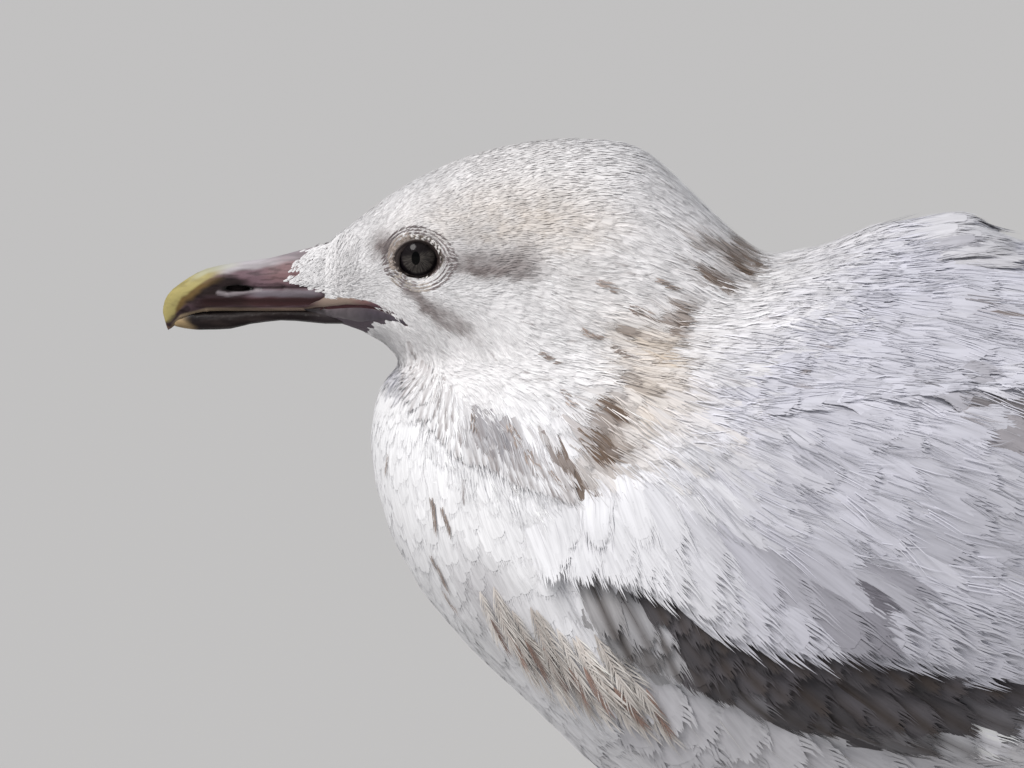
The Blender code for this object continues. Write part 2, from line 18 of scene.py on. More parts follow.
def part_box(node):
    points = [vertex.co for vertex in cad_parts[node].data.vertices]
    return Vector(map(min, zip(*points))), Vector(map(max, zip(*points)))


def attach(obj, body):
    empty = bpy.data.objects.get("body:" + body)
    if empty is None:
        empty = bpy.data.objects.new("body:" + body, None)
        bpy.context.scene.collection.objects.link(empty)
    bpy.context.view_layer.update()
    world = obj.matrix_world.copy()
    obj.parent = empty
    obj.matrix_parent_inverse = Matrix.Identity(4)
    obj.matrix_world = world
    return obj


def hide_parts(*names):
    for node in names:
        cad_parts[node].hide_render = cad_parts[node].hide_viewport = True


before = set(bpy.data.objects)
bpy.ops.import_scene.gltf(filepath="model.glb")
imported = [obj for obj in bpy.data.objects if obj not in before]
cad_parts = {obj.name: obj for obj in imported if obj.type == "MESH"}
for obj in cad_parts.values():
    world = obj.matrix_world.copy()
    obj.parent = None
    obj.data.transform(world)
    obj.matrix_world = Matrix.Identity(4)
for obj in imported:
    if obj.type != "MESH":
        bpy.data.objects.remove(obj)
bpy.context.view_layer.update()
scene = bpy.context.scene

# %% [markdown]
# Places on a bird are easiest to say as a museum would measure them: how far behind the tip of the bill,
# how far out from the middle, and how high above the floor, all in millimetres. Two helpers turn such
# measures into the frame's metres and back again.

# %% Measures of the bird
MM = 0.001
BILL_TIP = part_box("bill_upper")[0].x
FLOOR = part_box("foot_left")[0].z
SIDES = {"left": -1, "right": 1}


def at(along, side, height):
    """A place on the bird, in millimetres, as a point of the frame."""
    return Vector((BILL_TIP + along * MM, side * MM, FLOOR + height * MM))


def measures(points):
    """(along, side, height) of many points, in millimetres."""
    points = np.asarray(points, float)
    return (points[:, 0] - BILL_TIP) / MM, points[:, 1] / MM, (points[:, 2] - FLOOR) / MM


def eye_centre(side):
    low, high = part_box(f"eye_{side}")
    return (low + high) / 2


EYE_RADIUS = (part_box("eye_left")[1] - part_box("eye_left")[0]).z / 2
EYE = {side: eye_centre(side) + Vector((0.0, 0.0, 1.3 * MM)) for side in SIDES}  # the ball looks a little up
EYE_ALONG, _, EYE_HEIGHT = (float(v[0]) for v in measures([EYE["left"]]))
print("eye centre:", round(EYE_ALONG, 1), "mm behind the bill's tip and", round(EYE_HEIGHT, 1), "mm up")

# %% [markdown]
# Blender's modelling operators act on whatever is selected, so every piece begins by clearing the
# selection. A copy of a solid is loose triangles until its doubled points are merged, and only then can a
# modifier round it.

# %% Helpers for objects
def select_only(*objects):
    bpy.ops.object.select_all(action="DESELECT")
    for obj in objects:
        obj.select_set(True)
    bpy.context.view_layer.objects.active = objects[0]


def new_object(name, mesh):
    obj = bpy.data.objects.new(name, mesh)
    scene.collection.objects.link(obj)
    return obj


def primitive(name, add, **settings):
    """A new piece from one of Blender's primitives, with its place and size in its mesh."""
    bpy.ops.object.select_all(action="DESELECT")
    add(**settings)
    made = bpy.context.object
    made.name = made.data.name = name
    bpy.ops.object.transform_apply(location=True, rotation=True, scale=True)
    return made


def apply_all(obj):
    select_only(obj)
    for modifier in list(obj.modifiers):
        bpy.ops.object.modifier_apply(modifier=modifier.name)


def merge_doubles(obj, turn_out=False):
    select_only(obj)
    bpy.ops.object.mode_set(mode="EDIT")
    bpy.ops.mesh.select_all(action="SELECT")
    bpy.ops.mesh.remove_doubles(threshold=0.01 * MM)
    if turn_out:
        bpy.ops.mesh.normals_make_consistent(inside=False)
    bpy.ops.object.mode_set(mode="OBJECT")


def face_out_and_round(obj, side):
    """Turns a draped piece's faces away from the bird's middle, and rounds it."""
    if sum(face.normal.y * SIDES[side] for face in obj.data.polygons) < 0:
        obj.data.flip_normals()
    rounding = obj.modifiers.new("rounding", "SUBSURF")
    rounding.levels = rounding.render_levels = 1
    apply_all(obj)
    bpy.ops.object.shade_smooth()


def merged_copy(node):
    """A copy of a solid in its own object, with its doubled points merged."""
    copy = new_object(f"copy_of_{node}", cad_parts[node].data.copy())
    copy.data.materials.clear()
    merge_doubles(copy)
    return copy


def rounded(name, nodes, voxel, smoothing, swell=0.0):
    """One rounded skin over the solids: grown a little so that they meet, remeshed, and smoothed."""
    copies = [merged_copy(node) for node in nodes]
    for copy in copies:
        if swell:
            grow = copy.modifiers.new("grow", "DISPLACE")
            grow.strength = swell * MM
            grow.mid_level = 0.0
            apply_all(copy)
    select_only(*copies)
    if len(copies) > 1:
        bpy.ops.object.join()
    skin = bpy.context.view_layer.objects.active
    skin.name = skin.data.name = name
    remesh = skin.modifiers.new("remesh", "REMESH")
    remesh.mode = "VOXEL"
    remesh.voxel_size = voxel * MM
    smooth = skin.modifiers.new("smooth", "SMOOTH")
    smooth.factor = 0.5
    smooth.iterations = smoothing
    apply_all(skin)
    bpy.ops.object.shade_smooth()
    return skin


def points_of(obj):
    points = np.empty(len(obj.data.vertices) * 3)
    obj.data.vertices.foreach_get("co", points)
    return points.reshape(-1, 3)


def normals_of(obj):
    normals = np.empty(len(obj.data.vertices) * 3)
    obj.data.vertex_normals.foreach_get("vector", normals)
    return normals.reshape(-1, 3)


def set_points(obj, points):
    obj.data.vertices.foreach_set("co", np.asarray(points, np.float32).ravel())
    obj.data.update()


def clothe(obj, material, slot, *nodes):
    """Gives a finished piece its material and its place on the frame, and hides the solids that it stands
    for.
    """
    obj.data.materials.clear()
    obj.data.materials.append(material)
    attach(obj, "root")
    if nodes:
        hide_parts(*nodes)
    return obj


# %% [markdown]
# Shader maths reads best as plain sums. The class Wire wraps a socket, so that a + b, 1 - mask or x * 3 add
# Math nodes by themselves. Finish holds one material, and its node method makes every other kind of node.

# %% A small language for materials
class Wire:
    def __init__(self, finish, socket):
        self.finish, self.socket = finish, socket

    def sum_of(self, operation, *values):
        inputs = dict(enumerate(values))
        return self.finish.node("ShaderNodeMath", {"operation": operation}, inputs)

    def __add__(self, other):
        return self.sum_of("ADD", self, other)

    def __sub__(self, other):
        return self.sum_of("SUBTRACT", self, other)

    def __rsub__(self, other):
        return self.sum_of("SUBTRACT", other, self)

    def __mul__(self, other):
        return self.sum_of("MULTIPLY", self, other)

    def __truediv__(self, other):
        return self.sum_of("DIVIDE", self, other)

    def __pow__(self, other):
        return self.sum_of("POWER", self, other)

    __radd__, __rmul__ = __add__, __mul__

    def ramp(self, start, end):
        """0 before start, 1 after end, and smooth between. It falls where end is below start."""
        settings = {"interpolation_type": "SMOOTHSTEP"}
        if start < end:
            return self.finish.node("ShaderNodeMapRange", settings, {0: self, 1: start, 2: end})
        return 1.0 - self.finish.node("ShaderNodeMapRange", settings, {0: self, 1: end, 2: start})

    def sine(self):
        return self.sum_of("SINE", self)


class Finish:
    def __init__(self, name, **constants):
        self.material = bpy.data.materials.new(name)
        self.material.use_nodes = True
        self.tree = self.material.node_tree
        self.shader = self.tree.nodes["Principled BSDF"]
        for socket, value in constants.items():
            self.shader.inputs[socket.replace("_", " ")].default_value = value

    def node(self, kind, settings=None, inputs=None, output=0):
        made = self.tree.nodes.new(kind)
        for name, value in (settings or {}).items():
            setattr(made, name, value)
        for name, value in (inputs or {}).items():
            self.plug(made.inputs[name], value)
        return Wire(self, made.outputs[output])

    def plug(self, socket, value):
        if isinstance(value, Wire):
            self.tree.links.new(value.socket, socket)
        elif socket.type == "RGBA" and len(value) == 3:
            socket.default_value = (*value, 1.0)
        else:
            socket.default_value = value

    def place(self):
        """The along, side and height of a shading point, in millimetres."""
        spot = self.node("ShaderNodeTexCoord", output="Object")
        along, side, height = (self.node("ShaderNodeSeparateXYZ", {}, {0: spot}, axis) for axis in "XYZ")
        return (along - BILL_TIP) * 1000.0, side * 1000.0, (height - FLOOR) * 1000.0

    def mottle(self, scale, detail=3.0, stretch=(1.0, 1.0, 1.0)):
        """Soft noise from 0 to 1, with lumps about 1 / scale metres across."""
        spot = self.node("ShaderNodeTexCoord", output="Object")
        turned = self.node("ShaderNodeMapping", {}, {"Vector": spot, "Scale": stretch})
        return self.node("ShaderNodeTexNoise", {}, {"Vector": turned, "Scale": scale, "Detail": detail})

    def mix(self, share, first, second):
        settings = {"data_type": "RGBA"}
        return self.node("ShaderNodeMix", settings, {0: share, 6: first, 7: second}, 2)

    def attribute(self, name):
        return self.node("ShaderNodeAttribute", {"attribute_name": name}, {}, "Color")

    def finish(self, colour=None, roughness=None, height=None, depth=0.1):
        """Plugs in what varies: colour, roughness, and a bump whose height is depth millimetres."""
        bump = None
        if height is not None:
            bump = self.node("ShaderNodeBump", {}, {"Distance": depth * MM, "Height": height}, "Normal")
        for socket, value in (("Base Color", colour), ("Roughness", roughness), ("Normal", bump)):
            if value is not None:
                self.plug(self.shader.inputs[socket], value)
        return self.material


# %% [markdown]
# ## How the coat lies
#
# Feathers point away from the bill, but not in straight lines: they sweep up over the crown, hang down the
# throat, fan out at the shoulder and run level along the back. A table of guides says this for one spot
# each: where it is in the side view, how steeply feathers slope down there, how long and how broad they
# are, and how deep the coat is. Everywhere else takes a weighted mean of the guides around it.

# %% Guides for the lie of the coat
GUIDE_TABLE = {  # along, height, slope, length, half width and depth
    "bill base": (43, 247, -32, 2.2, 0.5, 0.6),
    "bill side": (40, 239, -8, 2.2, 0.5, 0.5),
    "forehead": (54, 254, -36, 3.2, 0.6, 0.9),
    "lores": (55, 241, -6, 3.0, 0.6, 0.9),
    "eye front": (67, 249, -24, 2.6, 0.5, 0.8),
    "eye rear": (86, 247, 2, 3.4, 0.6, 0.9),
    "under eye": (74, 234, 34, 3.2, 0.6, 0.9),
    "gape": (69, 224, 38, 3.4, 0.6, 0.9),
    "chin": (60, 223, 24, 3.2, 0.6, 0.8),
    "fore crown": (67, 263, -38, 3.8, 0.7, 1.1),
    "brow": (84, 260, -14, 4.0, 0.7, 1.1),
    "crown front": (86, 274, -20, 4.8, 0.9, 1.3),
    "crown": (114, 280, -3, 6.0, 1.0, 1.6),
    "hind crown": (138, 278, 12, 7.5, 1.2, 2.0),
    "nape": (159, 262, 34, 12.0, 1.5, 2.0),
    "hind neck": (174, 250, 20, 13.0, 2.0, 2.4),
    "ear": (102, 247, 3, 5.5, 0.8, 1.5),
    "hind ear": (122, 238, 14, 9.0, 1.1, 1.9),
    "cheek": (92, 224, 46, 6.0, 0.9, 1.7),
    "throat": (77, 208, 78, 10.0, 1.2, 2.2),
    "neck lobe": (106, 196, 62, 14.0, 1.7, 3.0),
    "neck side": (143, 229, 26, 14.0, 1.9, 2.6),
    "neck foot": (138, 200, 42, 16.0, 2.4, 3.0),
    "breast top": (64, 194, 88, 12.0, 2.2, 2.2),
    "breast": (80, 176, 72, 12.0, 2.4, 2.8),
    "low breast": (84, 145, 60, 14.0, 3.0, 3.2),
    "fore belly": (115, 104, 46, 15.0, 3.6, 3.4),
    "belly": (200, 74, 6, 17.0, 4.2, 3.6),
    "vent": (320, 104, -24, 18.0, 4.5, 3.4),
    "under tail": (400, 150, -22, 24.0, 5.0, 2.6),
    "breast side": (110, 148, 66, 15.0, 3.6, 3.4),
    "shoulder": (142, 172, 62, 18.0, 4.5, 3.6),
    "mantle front": (180, 234, 9, 14.0, 3.2, 3.4),
    "mantle": (215, 222, 20, 17.0, 4.0, 4.0),
    "back": (255, 246, 6, 20.0, 5.0, 4.0),
    "scapulars": (195, 170, 30, 22.0, 6.0, 5.0),
    "hind scapulars": (245, 185, 22, 24.0, 6.0, 5.0),
    "wing bend": (128, 146, 64, 14.0, 4.0, 3.4),
    "lesser coverts": (170, 128, 52, 15.0, 4.5, 3.6),
    "greater coverts": (225, 112, 22, 20.0, 5.0, 3.4),
    "wing rear": (330, 165, -2, 26.0, 6.0, 3.4),
    "wing end": (400, 185, -4, 28.0, 6.0, 2.6),
    "wing point": (500, 188, 4, 28.0, 5.0, 1.2),
    "rump": (330, 230, 14, 22.0, 5.0, 3.4),
    "thigh": (254, 74, 60, 8.0, 2.0, 1.6),
}
GUIDE_PLACES, GUIDE_VALUES = np.split(np.array(list(GUIDE_TABLE.values()), float), [2], axis=1)
GUIDE_SHARPNESS = 3.5


def guided(points):
    """Slope, length, half width and depth of the coat at each point, as columns."""
    along, _, height = measures(points)
    spans = np.hypot(along[:, None] - GUIDE_PLACES[:, 0], height[:, None] - GUIDE_PLACES[:, 1])
    weights = 1.0 / (spans + 2.0) ** GUIDE_SHARPNESS
    return (weights @ GUIDE_VALUES) / weights.sum(axis=1)[:, None]


def unit(vectors):
    return vectors / np.maximum(np.linalg.norm(vectors, axis=-1, keepdims=True), 1e-12)


EYE_WRAP = 6.6


def round_the_eye(points, run_along, run_up):
    """Turns the lie near the eye, as a stream divides round a post."""
    along, _, height = measures(points)
    out_along, out_up = along - EYE_ALONG, height - EYE_HEIGHT
    reach = np.hypot(out_along, out_up).clip(EYE_WRAP)
    out_along, out_up = out_along / reach, out_up / reach
    push = (EYE_WRAP / reach) ** 2
    with_flow = 2.0 * (run_along * out_along + run_up * out_up)
    run_along = run_along - push * (with_flow * out_along - run_along)
    run_up = run_up - push * (with_flow * out_up - run_up)
    return run_along, run_up


def lie(points, normals, slopes=None):
    """The way a feather points at each place: down the guide's slope, turned to run along the skin."""
    slopes = np.radians(guided(points)[:, 0] if slopes is None else slopes)
    run_along, run_up = round_the_eye(points, np.cos(slopes), -np.sin(slopes))
    run = np.stack([run_along, np.zeros_like(slopes), run_up], axis=1)
    flat = run - normals * np.sum(run * normals, axis=1)[:, None]
    return unit(flat)


print("guides for the coat:", len(GUIDE_TABLE))

# %% [markdown]
# ## The markings
#
# Skin and feathers share one set of markings, worked out in code for any point. The bird is between two
# plumages: a white head and breast with fine grey-brown streaks, brown blotches in an arc where the neck
# meets the back, a silver-grey back, and worn brown feathers low on the wing and in its tip. The same
# colours carry painted shade: a dark band under the hem of the scapulars, and soft grey patches where the
# neck, the chin and the scapulars overhang.

# %% Colours of the plumage
WHITE = (0.86, 0.855, 0.87)
HEAD_WHITE = (0.80, 0.785, 0.79)
BUFF = (0.62, 0.53, 0.44)
SILVER = (0.57, 0.565, 0.625)
PALE_GREY = (0.60, 0.59, 0.62)
DUSK = (0.24, 0.205, 0.20)
BROWN = (0.165, 0.115, 0.085)
DARK_BROWN = (0.055, 0.042, 0.036)
SHADE_DEEP = (0.013, 0.010, 0.010)
SHADE_THIN = (0.052, 0.045, 0.050)

# Where two tracts end in the side view: the scapulars over the wing, and the neck over the breast.
HEM = (
    (120, 159), (137, 159), (146, 158), (153, 155), (165, 150), (173, 145), (184, 142), (197, 140),
    (211, 141), (223, 141), (235, 138), (248, 134), (275, 133), (305, 140), (330, 150),
)
NECK_HEM = (
    (50, 214), (66, 212), (74, 209), (80, 198), (92, 188), (109, 181.5), (124, 178), (150, 168), (200, 168),
)

ColourPatch = namedtuple("ColourPatch", "along height length breadth slope colour strength")
BLOTCHES_AND_SHADES = [ColourPatch(*row) for row in (
    (98, 247, 14, 3.6, 2, DUSK, 0.80),  # the smudge behind the eye
    (108, 249, 6, 4.4, -30, DUSK, 0.55),
    (102, 244.6, 10, 1.8, 4, DUSK, 0.65),
    (67, 251.5, 4.0, 4.2, -20, DUSK, 0.85),  # and the one in front of it
    (77, 236, 9, 2.2, 44, DUSK, 0.80),  # crescents that sweep back under the eye
    (86, 230, 9, 3.0, 32, DUSK, 0.70),
    (94, 252, 12, 5, 0, DUSK, 0.22),
    (100, 262, 26, 8, -8, BUFF, 0.30),
    (118, 258, 20, 7, 0, BUFF, 0.30),
    (146, 218, 16, 9, 50, BUFF, 0.50),
    (138, 199, 8, 18, 40, BUFF, 0.45),
    (173, 247, 5.0, 5.0, 34, BROWN, 1.0),  # the arc of blotches at the foot of the neck
    (166, 251, 9, 1.8, 24, BROWN, 0.8),
    (164, 243.0, 7, 2.0, 28, BROWN, 0.85),
    (154.5, 232, 5.0, 5.6, 40, BROWN, 1.0),
    (149, 224, 5, 3.4, 30, BUFF, 0.9),
    (140, 228, 6, 1.6, 24, BROWN, 0.8),
    (141, 215.5, 6, 1.8, 30, BROWN, 0.75),
    (134, 208, 5.0, 4.5, 50, BROWN, 0.9),
    (131.5, 198, 8.0, 5.6, 50, BROWN, 1.0),
    (119, 193, 8.0, 1.6, 52, BROWN, 0.9),
    (125, 186, 8.0, 2.2, 56, BROWN, 0.9),
    (129, 183, 7.0, 2.2, 10, BROWN, 0.85),
    # Painted shade as well: the coverts under the scapulars are brown, and are painted darker for the
    # scapulars' shadow.
    (133, 142, 6.0, 5.5, 60, DARK_BROWN, 0.95),  # brown coverts in the shade of the scapulars
    (146, 138, 7.0, 3.2, 20, DARK_BROWN, 0.9),
    (112, 130, 6.0, 2.0, 62, BROWN, 0.35),
    # Painted shade: the hollow under the neck's hem, the low breast, the lower edge of the scapulars, and the
    # chin's shadow on the top of the breast.
    (100, 195, 9.0, 5.5, 26, (0.30, 0.29, 0.31), 0.85),  # the dim hollow under the neck's hem
    (98, 150, 16.0, 8.0, 62, (0.36, 0.34, 0.36), 0.45),
    (190, 152, 14.0, 5.0, 24, (0.30, 0.29, 0.32), 0.5),
    (67, 211, 6.0, 3.5, 40, (0.36, 0.36, 0.42), 0.6),
    # Painted shade in the gaps between clumps of scapulars; the last is a dark patch high on the back.
    (211, 148, 12.0, 3.5, -30, (0.10, 0.09, 0.11), 0.7),
    (233, 213.5, 10.5, 3.2, 16, (0.13, 0.115, 0.115), 0.95),
    (244, 206, 8.0, 3.0, 8, DUSK, 0.8),
    (248, 236, 7.0, 3.0, 8, DUSK, 0.8),
)]
Streak = namedtuple("Streak", "along height length half slope")
STREAKS = [Streak(*row) for row in (  # single dark feathers on the white of the breast and in the neck
    (81, 181, 11, 0.55, 84),
    (84, 178, 9, 0.5, 70),
    (80.5, 163, 13, 0.5, 64),
    (84, 152, 9, 0.45, 58),
    (67.5, 191, 7, 0.4, 92),
    (93, 205, 6, 0.4, 80),
    (97, 196, 7, 0.5, 62),
    (103, 203, 8, 0.6, 58),
    (108, 196, 9, 0.8, 56),
    (115, 191, 8, 0.7, 50),
    (112, 222, 8, 0.5, 30),
    (124, 229, 8, 0.6, 26),
    (133, 224, 7, 0.6, 28),
    (128, 243, 8, 0.5, 16),
    (146, 243, 8, 0.6, 18),
    (118, 212, 7, 0.5, 40),
    (138, 236, 8, 0.6, 22),
    (150, 168, 9, 0.6, 62),
    (160, 160, 10, 0.5, 55),
    (140, 172, 9, 0.5, 66),
)]


def soft_step(values, start, end):
    share = np.clip((values - start) / (end - start), 0.0, 1.0)
    return share * share * (3.0 - 2.0 * share)


def grain(points, size, seed=0.0):
    """Smooth noise around 0, with lumps of the given size in millimetres."""
    shift = Vector((seed * 7.3, seed * 3.1, seed * 5.7))
    scale = 1.0 / (size * MM)
    return np.array([noise.noise(Vector(p) * scale + shift) for p in np.asarray(points, float)])


def blend(colours, colour, share):
    return colours + (np.asarray(colour) - colours) * np.clip(share, 0, 1)[:, None]


def painted(ground, *layers):
    """Colours laid over each other, each as (colour, share)."""
    colours = np.asarray(ground, float)
    for colour, share in layers:
        colours = blend(colours, colour, share)
    return colours


def plumage(points):
    """The colour of the coat at each point, with painted shade under the hems of the scapulars and the neck.
    """
    along, _, height = measures(points)
    mess = grain(points, 9.0) * 5.0
    fine = grain(points, 3.0, 1.0)
    head = 1.0 - soft_step(along + (height - 240) * 0.45 + mess, 118, 160)
    nape = soft_step(height + 0.9 * along + mess, 330, 366)
    mantle = soft_step(along - 66.0 - (height - 173) * 1.35 + mess, 18, 60)
    mantle *= soft_step(along + mess + np.clip(height - 200, 0, 60) * 0.8, 136, 192)
    mantle *= soft_step(height - 70 - np.clip(300 - along, 0, 400) * 0.10 + mess, 28, 52)
    worn = soft_step(along + mess, 250, 330) * soft_step(height + mess, 108, 132)
    worn *= 1.0 - soft_step(height + 0.4 * (along - 300) + mess, 186, 214)
    colours = painted(
        WHITE,
        (SILVER, 0.25 * soft_step(along + mess, 96, 130)),
        (HEAD_WHITE, soft_step(height + mess, 196, 216) * (0.45 + 0.55 * head)),
        (SILVER, mantle * (1.0 + 0.25 * fine)),
        (BUFF, 0.55 * worn + 0.4 * worn * fine),
        (BUFF, 0.10 * nape * (1.0 - mantle)),
    )
    # Painted shadow: the hanging scapulars shade a band of the side below their hem. The coverts there are
    # partly dusky brown, and the band is painted near black.
    below = np.interp(along, *zip(*HEM)) - height
    reach = np.interp(along, (140, 172, 190, 211, 223, 236, 252, 300), (14, 25, 27, 36, 35, 25, 17, 14))
    shade = soft_step(below + mess * 0.4, -1, 3) * (1.0 - soft_step(below + mess * 1.4 - reach, -5, 2))
    shade *= soft_step(along + mess, 126, 138) * (1.0 - soft_step(along, 285, 325))
    deep = soft_step(grain(points, 6.0, 14.0) - below * 0.02 + 0.12, -0.1, 0.25)[:, None]
    tone = deep * SHADE_DEEP + (1 - deep) * SHADE_THIN
    colours = colours + (tone - colours) * shade[:, None] * 0.95
    for spot in BLOTCHES_AND_SHADES:
        turn = math.radians(spot.slope)
        dx, dz = along - spot.along + mess * 0.25, height - spot.height + fine * 1.5
        run = (dx * math.cos(turn) - dz * math.sin(turn)) / spot.length
        rise = (dx * math.sin(turn) + dz * math.cos(turn)) / spot.breadth
        share = np.exp(-((run**2 + rise**2) ** 1.6) * 0.8) * (1.0 + 0.6 * fine)
        colours = blend(colours, spot.colour, spot.strength * share)
    return np.clip(colours * (1.0 + 0.10 * grain(points, 6.0, 12.0)[:, None]), 0.02, 0.95)


# %% [markdown]
# ## One skin
#
# Head, neck, trunk, thighs and the arms of the wings are one body, so one skin stands for them all. The
# solids are copied, grown by a hair so that they overlap, fused by a voxel remesh and smoothed. The skin
# then sinks by the depth of the coat, so that the feathers' tips end where the solids' surface was.

# %% Skin over the flesh
FLESH = ("head", "neck", "trunk", "wing_left", "wing_right", "thigh_left", "thigh_right")
skin = rounded("skin", FLESH, voxel=1.8, smoothing=9, swell=0.5)
surface = points_of(skin)
SINK = 0.55  # as a share of the coat's depth
RUFFLE = 5.6  # how far the raised feathers lift the middle of the back
depth = guided(surface)[:, 3] * SINK
along, side, height = measures(surface)
depth += 0.9 * (1.0 - soft_step(along, 46.0, 55.0)) * soft_step(height, 228.0, 231.0)
ruffle = soft_step(along, 190, 218) * (1.0 - soft_step(along, 236, 256)) * np.exp(-((side / 18.0) ** 2))
depth -= RUFFLE * ruffle * soft_step(height, 232, 244)
set_points(skin, surface - normals_of(skin) * depth[:, None] * MM)
print("skin:", len(skin.data.polygons), "faces")

# %% [markdown]
# A feather needs to know where the skin is beneath every stretch of its shaft. A search tree over the skin
# answers that: for any point it gives the nearest spot on the skin and which way the skin faces there. The
# wing's point is added to the tree, because the long feathers at the back lie on it.

# %% Somewhere to lay feathers
wing_point = rounded("wing_point", ("primaries_left", "primaries_right"), voxel=1.6, smoothing=2)
set_points(wing_point, points_of(wing_point) - normals_of(wing_point) * 1.0 * MM)


class Ground:
    """A surface that feathers are laid on."""

    def __init__(self, *objects):
        points, normals, faces = [], [], []
        for obj in objects:
            first = sum(len(p) for p in points)
            points.append(points_of(obj))
            normals.append(normals_of(obj))
            faces += [[v + first for v in face.vertices] for face in obj.data.polygons]
        self.points, self.faces = np.concatenate(points), faces
        vertex_normals = np.concatenate(normals)
        self.normals = unit(np.array([vertex_normals[face].mean(axis=0) for face in faces]))
        self.tree = BVHTree.FromPolygons([Vector(p) for p in self.points], faces)

    def nearest(self, places):
        hits = [self.tree.find_nearest(Vector(p)) for p in places]
        spots = np.array([hit[0] for hit in hits])
        return spots, self.normals[[hit[2] for hit in hits]]

    def seen_from_side(self, along, height, side):
        """Where lines from the bird's side first meet the ground, and which way it faces there."""
        spots, normals = [], []
        for a, h in zip(along, height):
            start = at(a, side * 300.0, h)
            hit = self.tree.ray_cast(start, Vector((0.0, -side, 0.0)))
            if hit[0] is None:
                hit = self.tree.find_nearest(at(a, side * 20.0, h))
            spots.append(hit[0])
            normals.append(self.normals[hit[2]])
        return np.array(spots), np.array(normals)


body = Ground(skin)
body_and_point = Ground(skin, wing_point)
print("ground:", len(body_and_point.faces), "faces")

# %% [markdown]
# ## Feathers
#
# The smallest feathers are vanes of a few strands that split at the tip. Larger soft ones are smooth sheets
# whose edge dissolves in threads, because a coat's soft look comes from the tips of its barbs. Firm ones
# have a raised shaft and fine barbs, and worn ones are barbs with gaps between them. Each is written once as
# a flat pattern: s runs from 0 at the root to 1 at the tip, and u from -1 to 1 across. Laying a vane bends
# that pattern along the skin.

# %% Patterns of vanes
Vane = namedtuple("Vane", "s u rise shaft tone faces")


def pattern(rows, faces):
    """A vane from rows of (s, u, rise, shaft, tone), where a tone of 1 may be left out."""
    s, u, rise, shaft, tone = (np.array(column, float) for column in zip(*((*row, 1.0)[:5] for row in rows)))
    return Vane(s, u, rise, shaft, tone, faces)


def breadth_at(s, shoulder=0.55, root=0.5, tip=0.85):
    """How broad a loose vane is at s, as a share of its greatest breadth."""
    if s < shoulder:
        return root + (1.0 - root) * math.sin(s / shoulder * math.pi / 2)
    return 1.0 - (1.0 - tip) * ((s - shoulder) / (1.0 - shoulder)) ** 2


def add_sheet(faces, first, rows, columns=1):
    """Adds the faces of a grid of points that starts at first and runs row by row."""
    for row in range(rows):
        for column in range(columns):
            a = first + row * (columns + 1) + column
            faces.append((a, a + columns + 1, a + columns + 2, a + 1))


def soft_vane(rng, strands, rows, split=0.45, droop=0.22, ragged=0.12, spread=0.2):
    """A loose vane: strands side by side that part beyond split and end in points of uneven length."""
    points, faces = [], []
    for k in range(strands):
        middle = -1.0 + (2 * k + 1) / strands
        half = 1.25 / strands
        end = 1.0 - droop * middle**2 - ragged * rng.random()
        drift, lift, tone = rng.normal(0.0, 0.08), rng.normal(0.0, 0.10), rng.normal(1.0, 0.05)
        first = len(points)
        for row in range(rows):
            place = row / rows * end
            loose = max(0.0, (row / rows - split) / (1.0 - split))
            centre = middle * breadth_at(place) * (1.0 + spread * loose) + drift * loose
            narrow = half * breadth_at(place) * (1.0 - 0.5 * loose)
            points += [(place, u, lift * loose, 0.0, tone) for u in (centre - narrow, centre + narrow)]
        points.append((end, middle * breadth_at(end) * (1.0 + spread) + drift, lift, 0.0, tone * 1.05))
        add_sheet(faces, first, rows - 1)
        a = len(points) - 3
        faces.append((a, a + 2, a + 1))
    return pattern(points, faces)


def rounded_breadth(s, widest, end=1.0):
    """How broad a firm vane is at s: it swells to its widest, and its tip is round."""
    if s < widest:
        return 0.55 + 0.45 * math.sin(s / widest * math.pi / 2)
    return math.sqrt(max(0.0, 1.0 - ((s - widest) / (end - widest)) ** 2.4))


def firm_vane(rng, columns=4, rows=7, barbs=40, slant=0.10, fray=0.12, widest=0.5, shaft=0.03, core=0.72):
    """A firm vane: a closed sheet with a raised shaft, and fine barbs that fray from its edge."""
    points, faces = [], []
    last = 0.93
    for row in range(rows + 1):
        s = last * (row / rows) ** 0.9
        inner = core + 0.28 * (1.0 - row / rows) ** 2
        for column in range(columns + 1):
            across = (-1.0 + 2.0 * column / columns) * inner
            points.append((s, across * rounded_breadth(s, widest), 0.0, 0.0))
    add_sheet(faces, 0, rows, columns)
    step = last / barbs
    for side in (-1.0, 1.0):
        for k in range(barbs):
            start = last * (0.1 + 0.9 * k / barbs) + step * rng.uniform(-0.4, 0.4)
            edge = core * 0.93 * rounded_breadth(min(start, last), widest)
            tip = min(start + slant * rng.uniform(0.8, 1.35), 1.04)
            reach = rounded_breadth(min(start + slant * 0.7, 0.985), widest)
            reach = max(reach, edge * 0.9) * (1.0 + fray * rng.normal(0.0, 0.7))
            lift = rng.normal(0.0, 0.02)
            a = len(points)
            points.append((start - step * 0.2, side * edge, 0.0, 0.0))
            points.append((start + step * 1.3, side * edge, 0.0, 0.0))
            points.append((tip, side * reach, lift, 0.0))
            faces.append((a, a + 1, a + 2) if side > 0 else (a, a + 2, a + 1))
    for k in range(11):
        spread = (k - 5) / 5
        across = spread * core * rounded_breadth(last, widest)
        a = len(points)
        points += [(last * 0.985, across + out, 0.0, 0.0) for out in (-0.045, 0.045)]
        reach = 1.03 - 0.05 * spread**2 + fray * 0.25 * rng.normal()
        points.append((reach, across * 1.15, rng.normal(0.0, 0.02), 0.0))
        faces.append((a, a + 2, a + 1))
    add_sheet(faces, len(points), rows)
    for row in range(rows + 1):
        width = shaft * (1.0 - 0.8 * row / rows)
        points += [(last * 0.96 * row / rows, out, 0.03, 1.0) for out in (-width, width)]
    return pattern(points, faces)


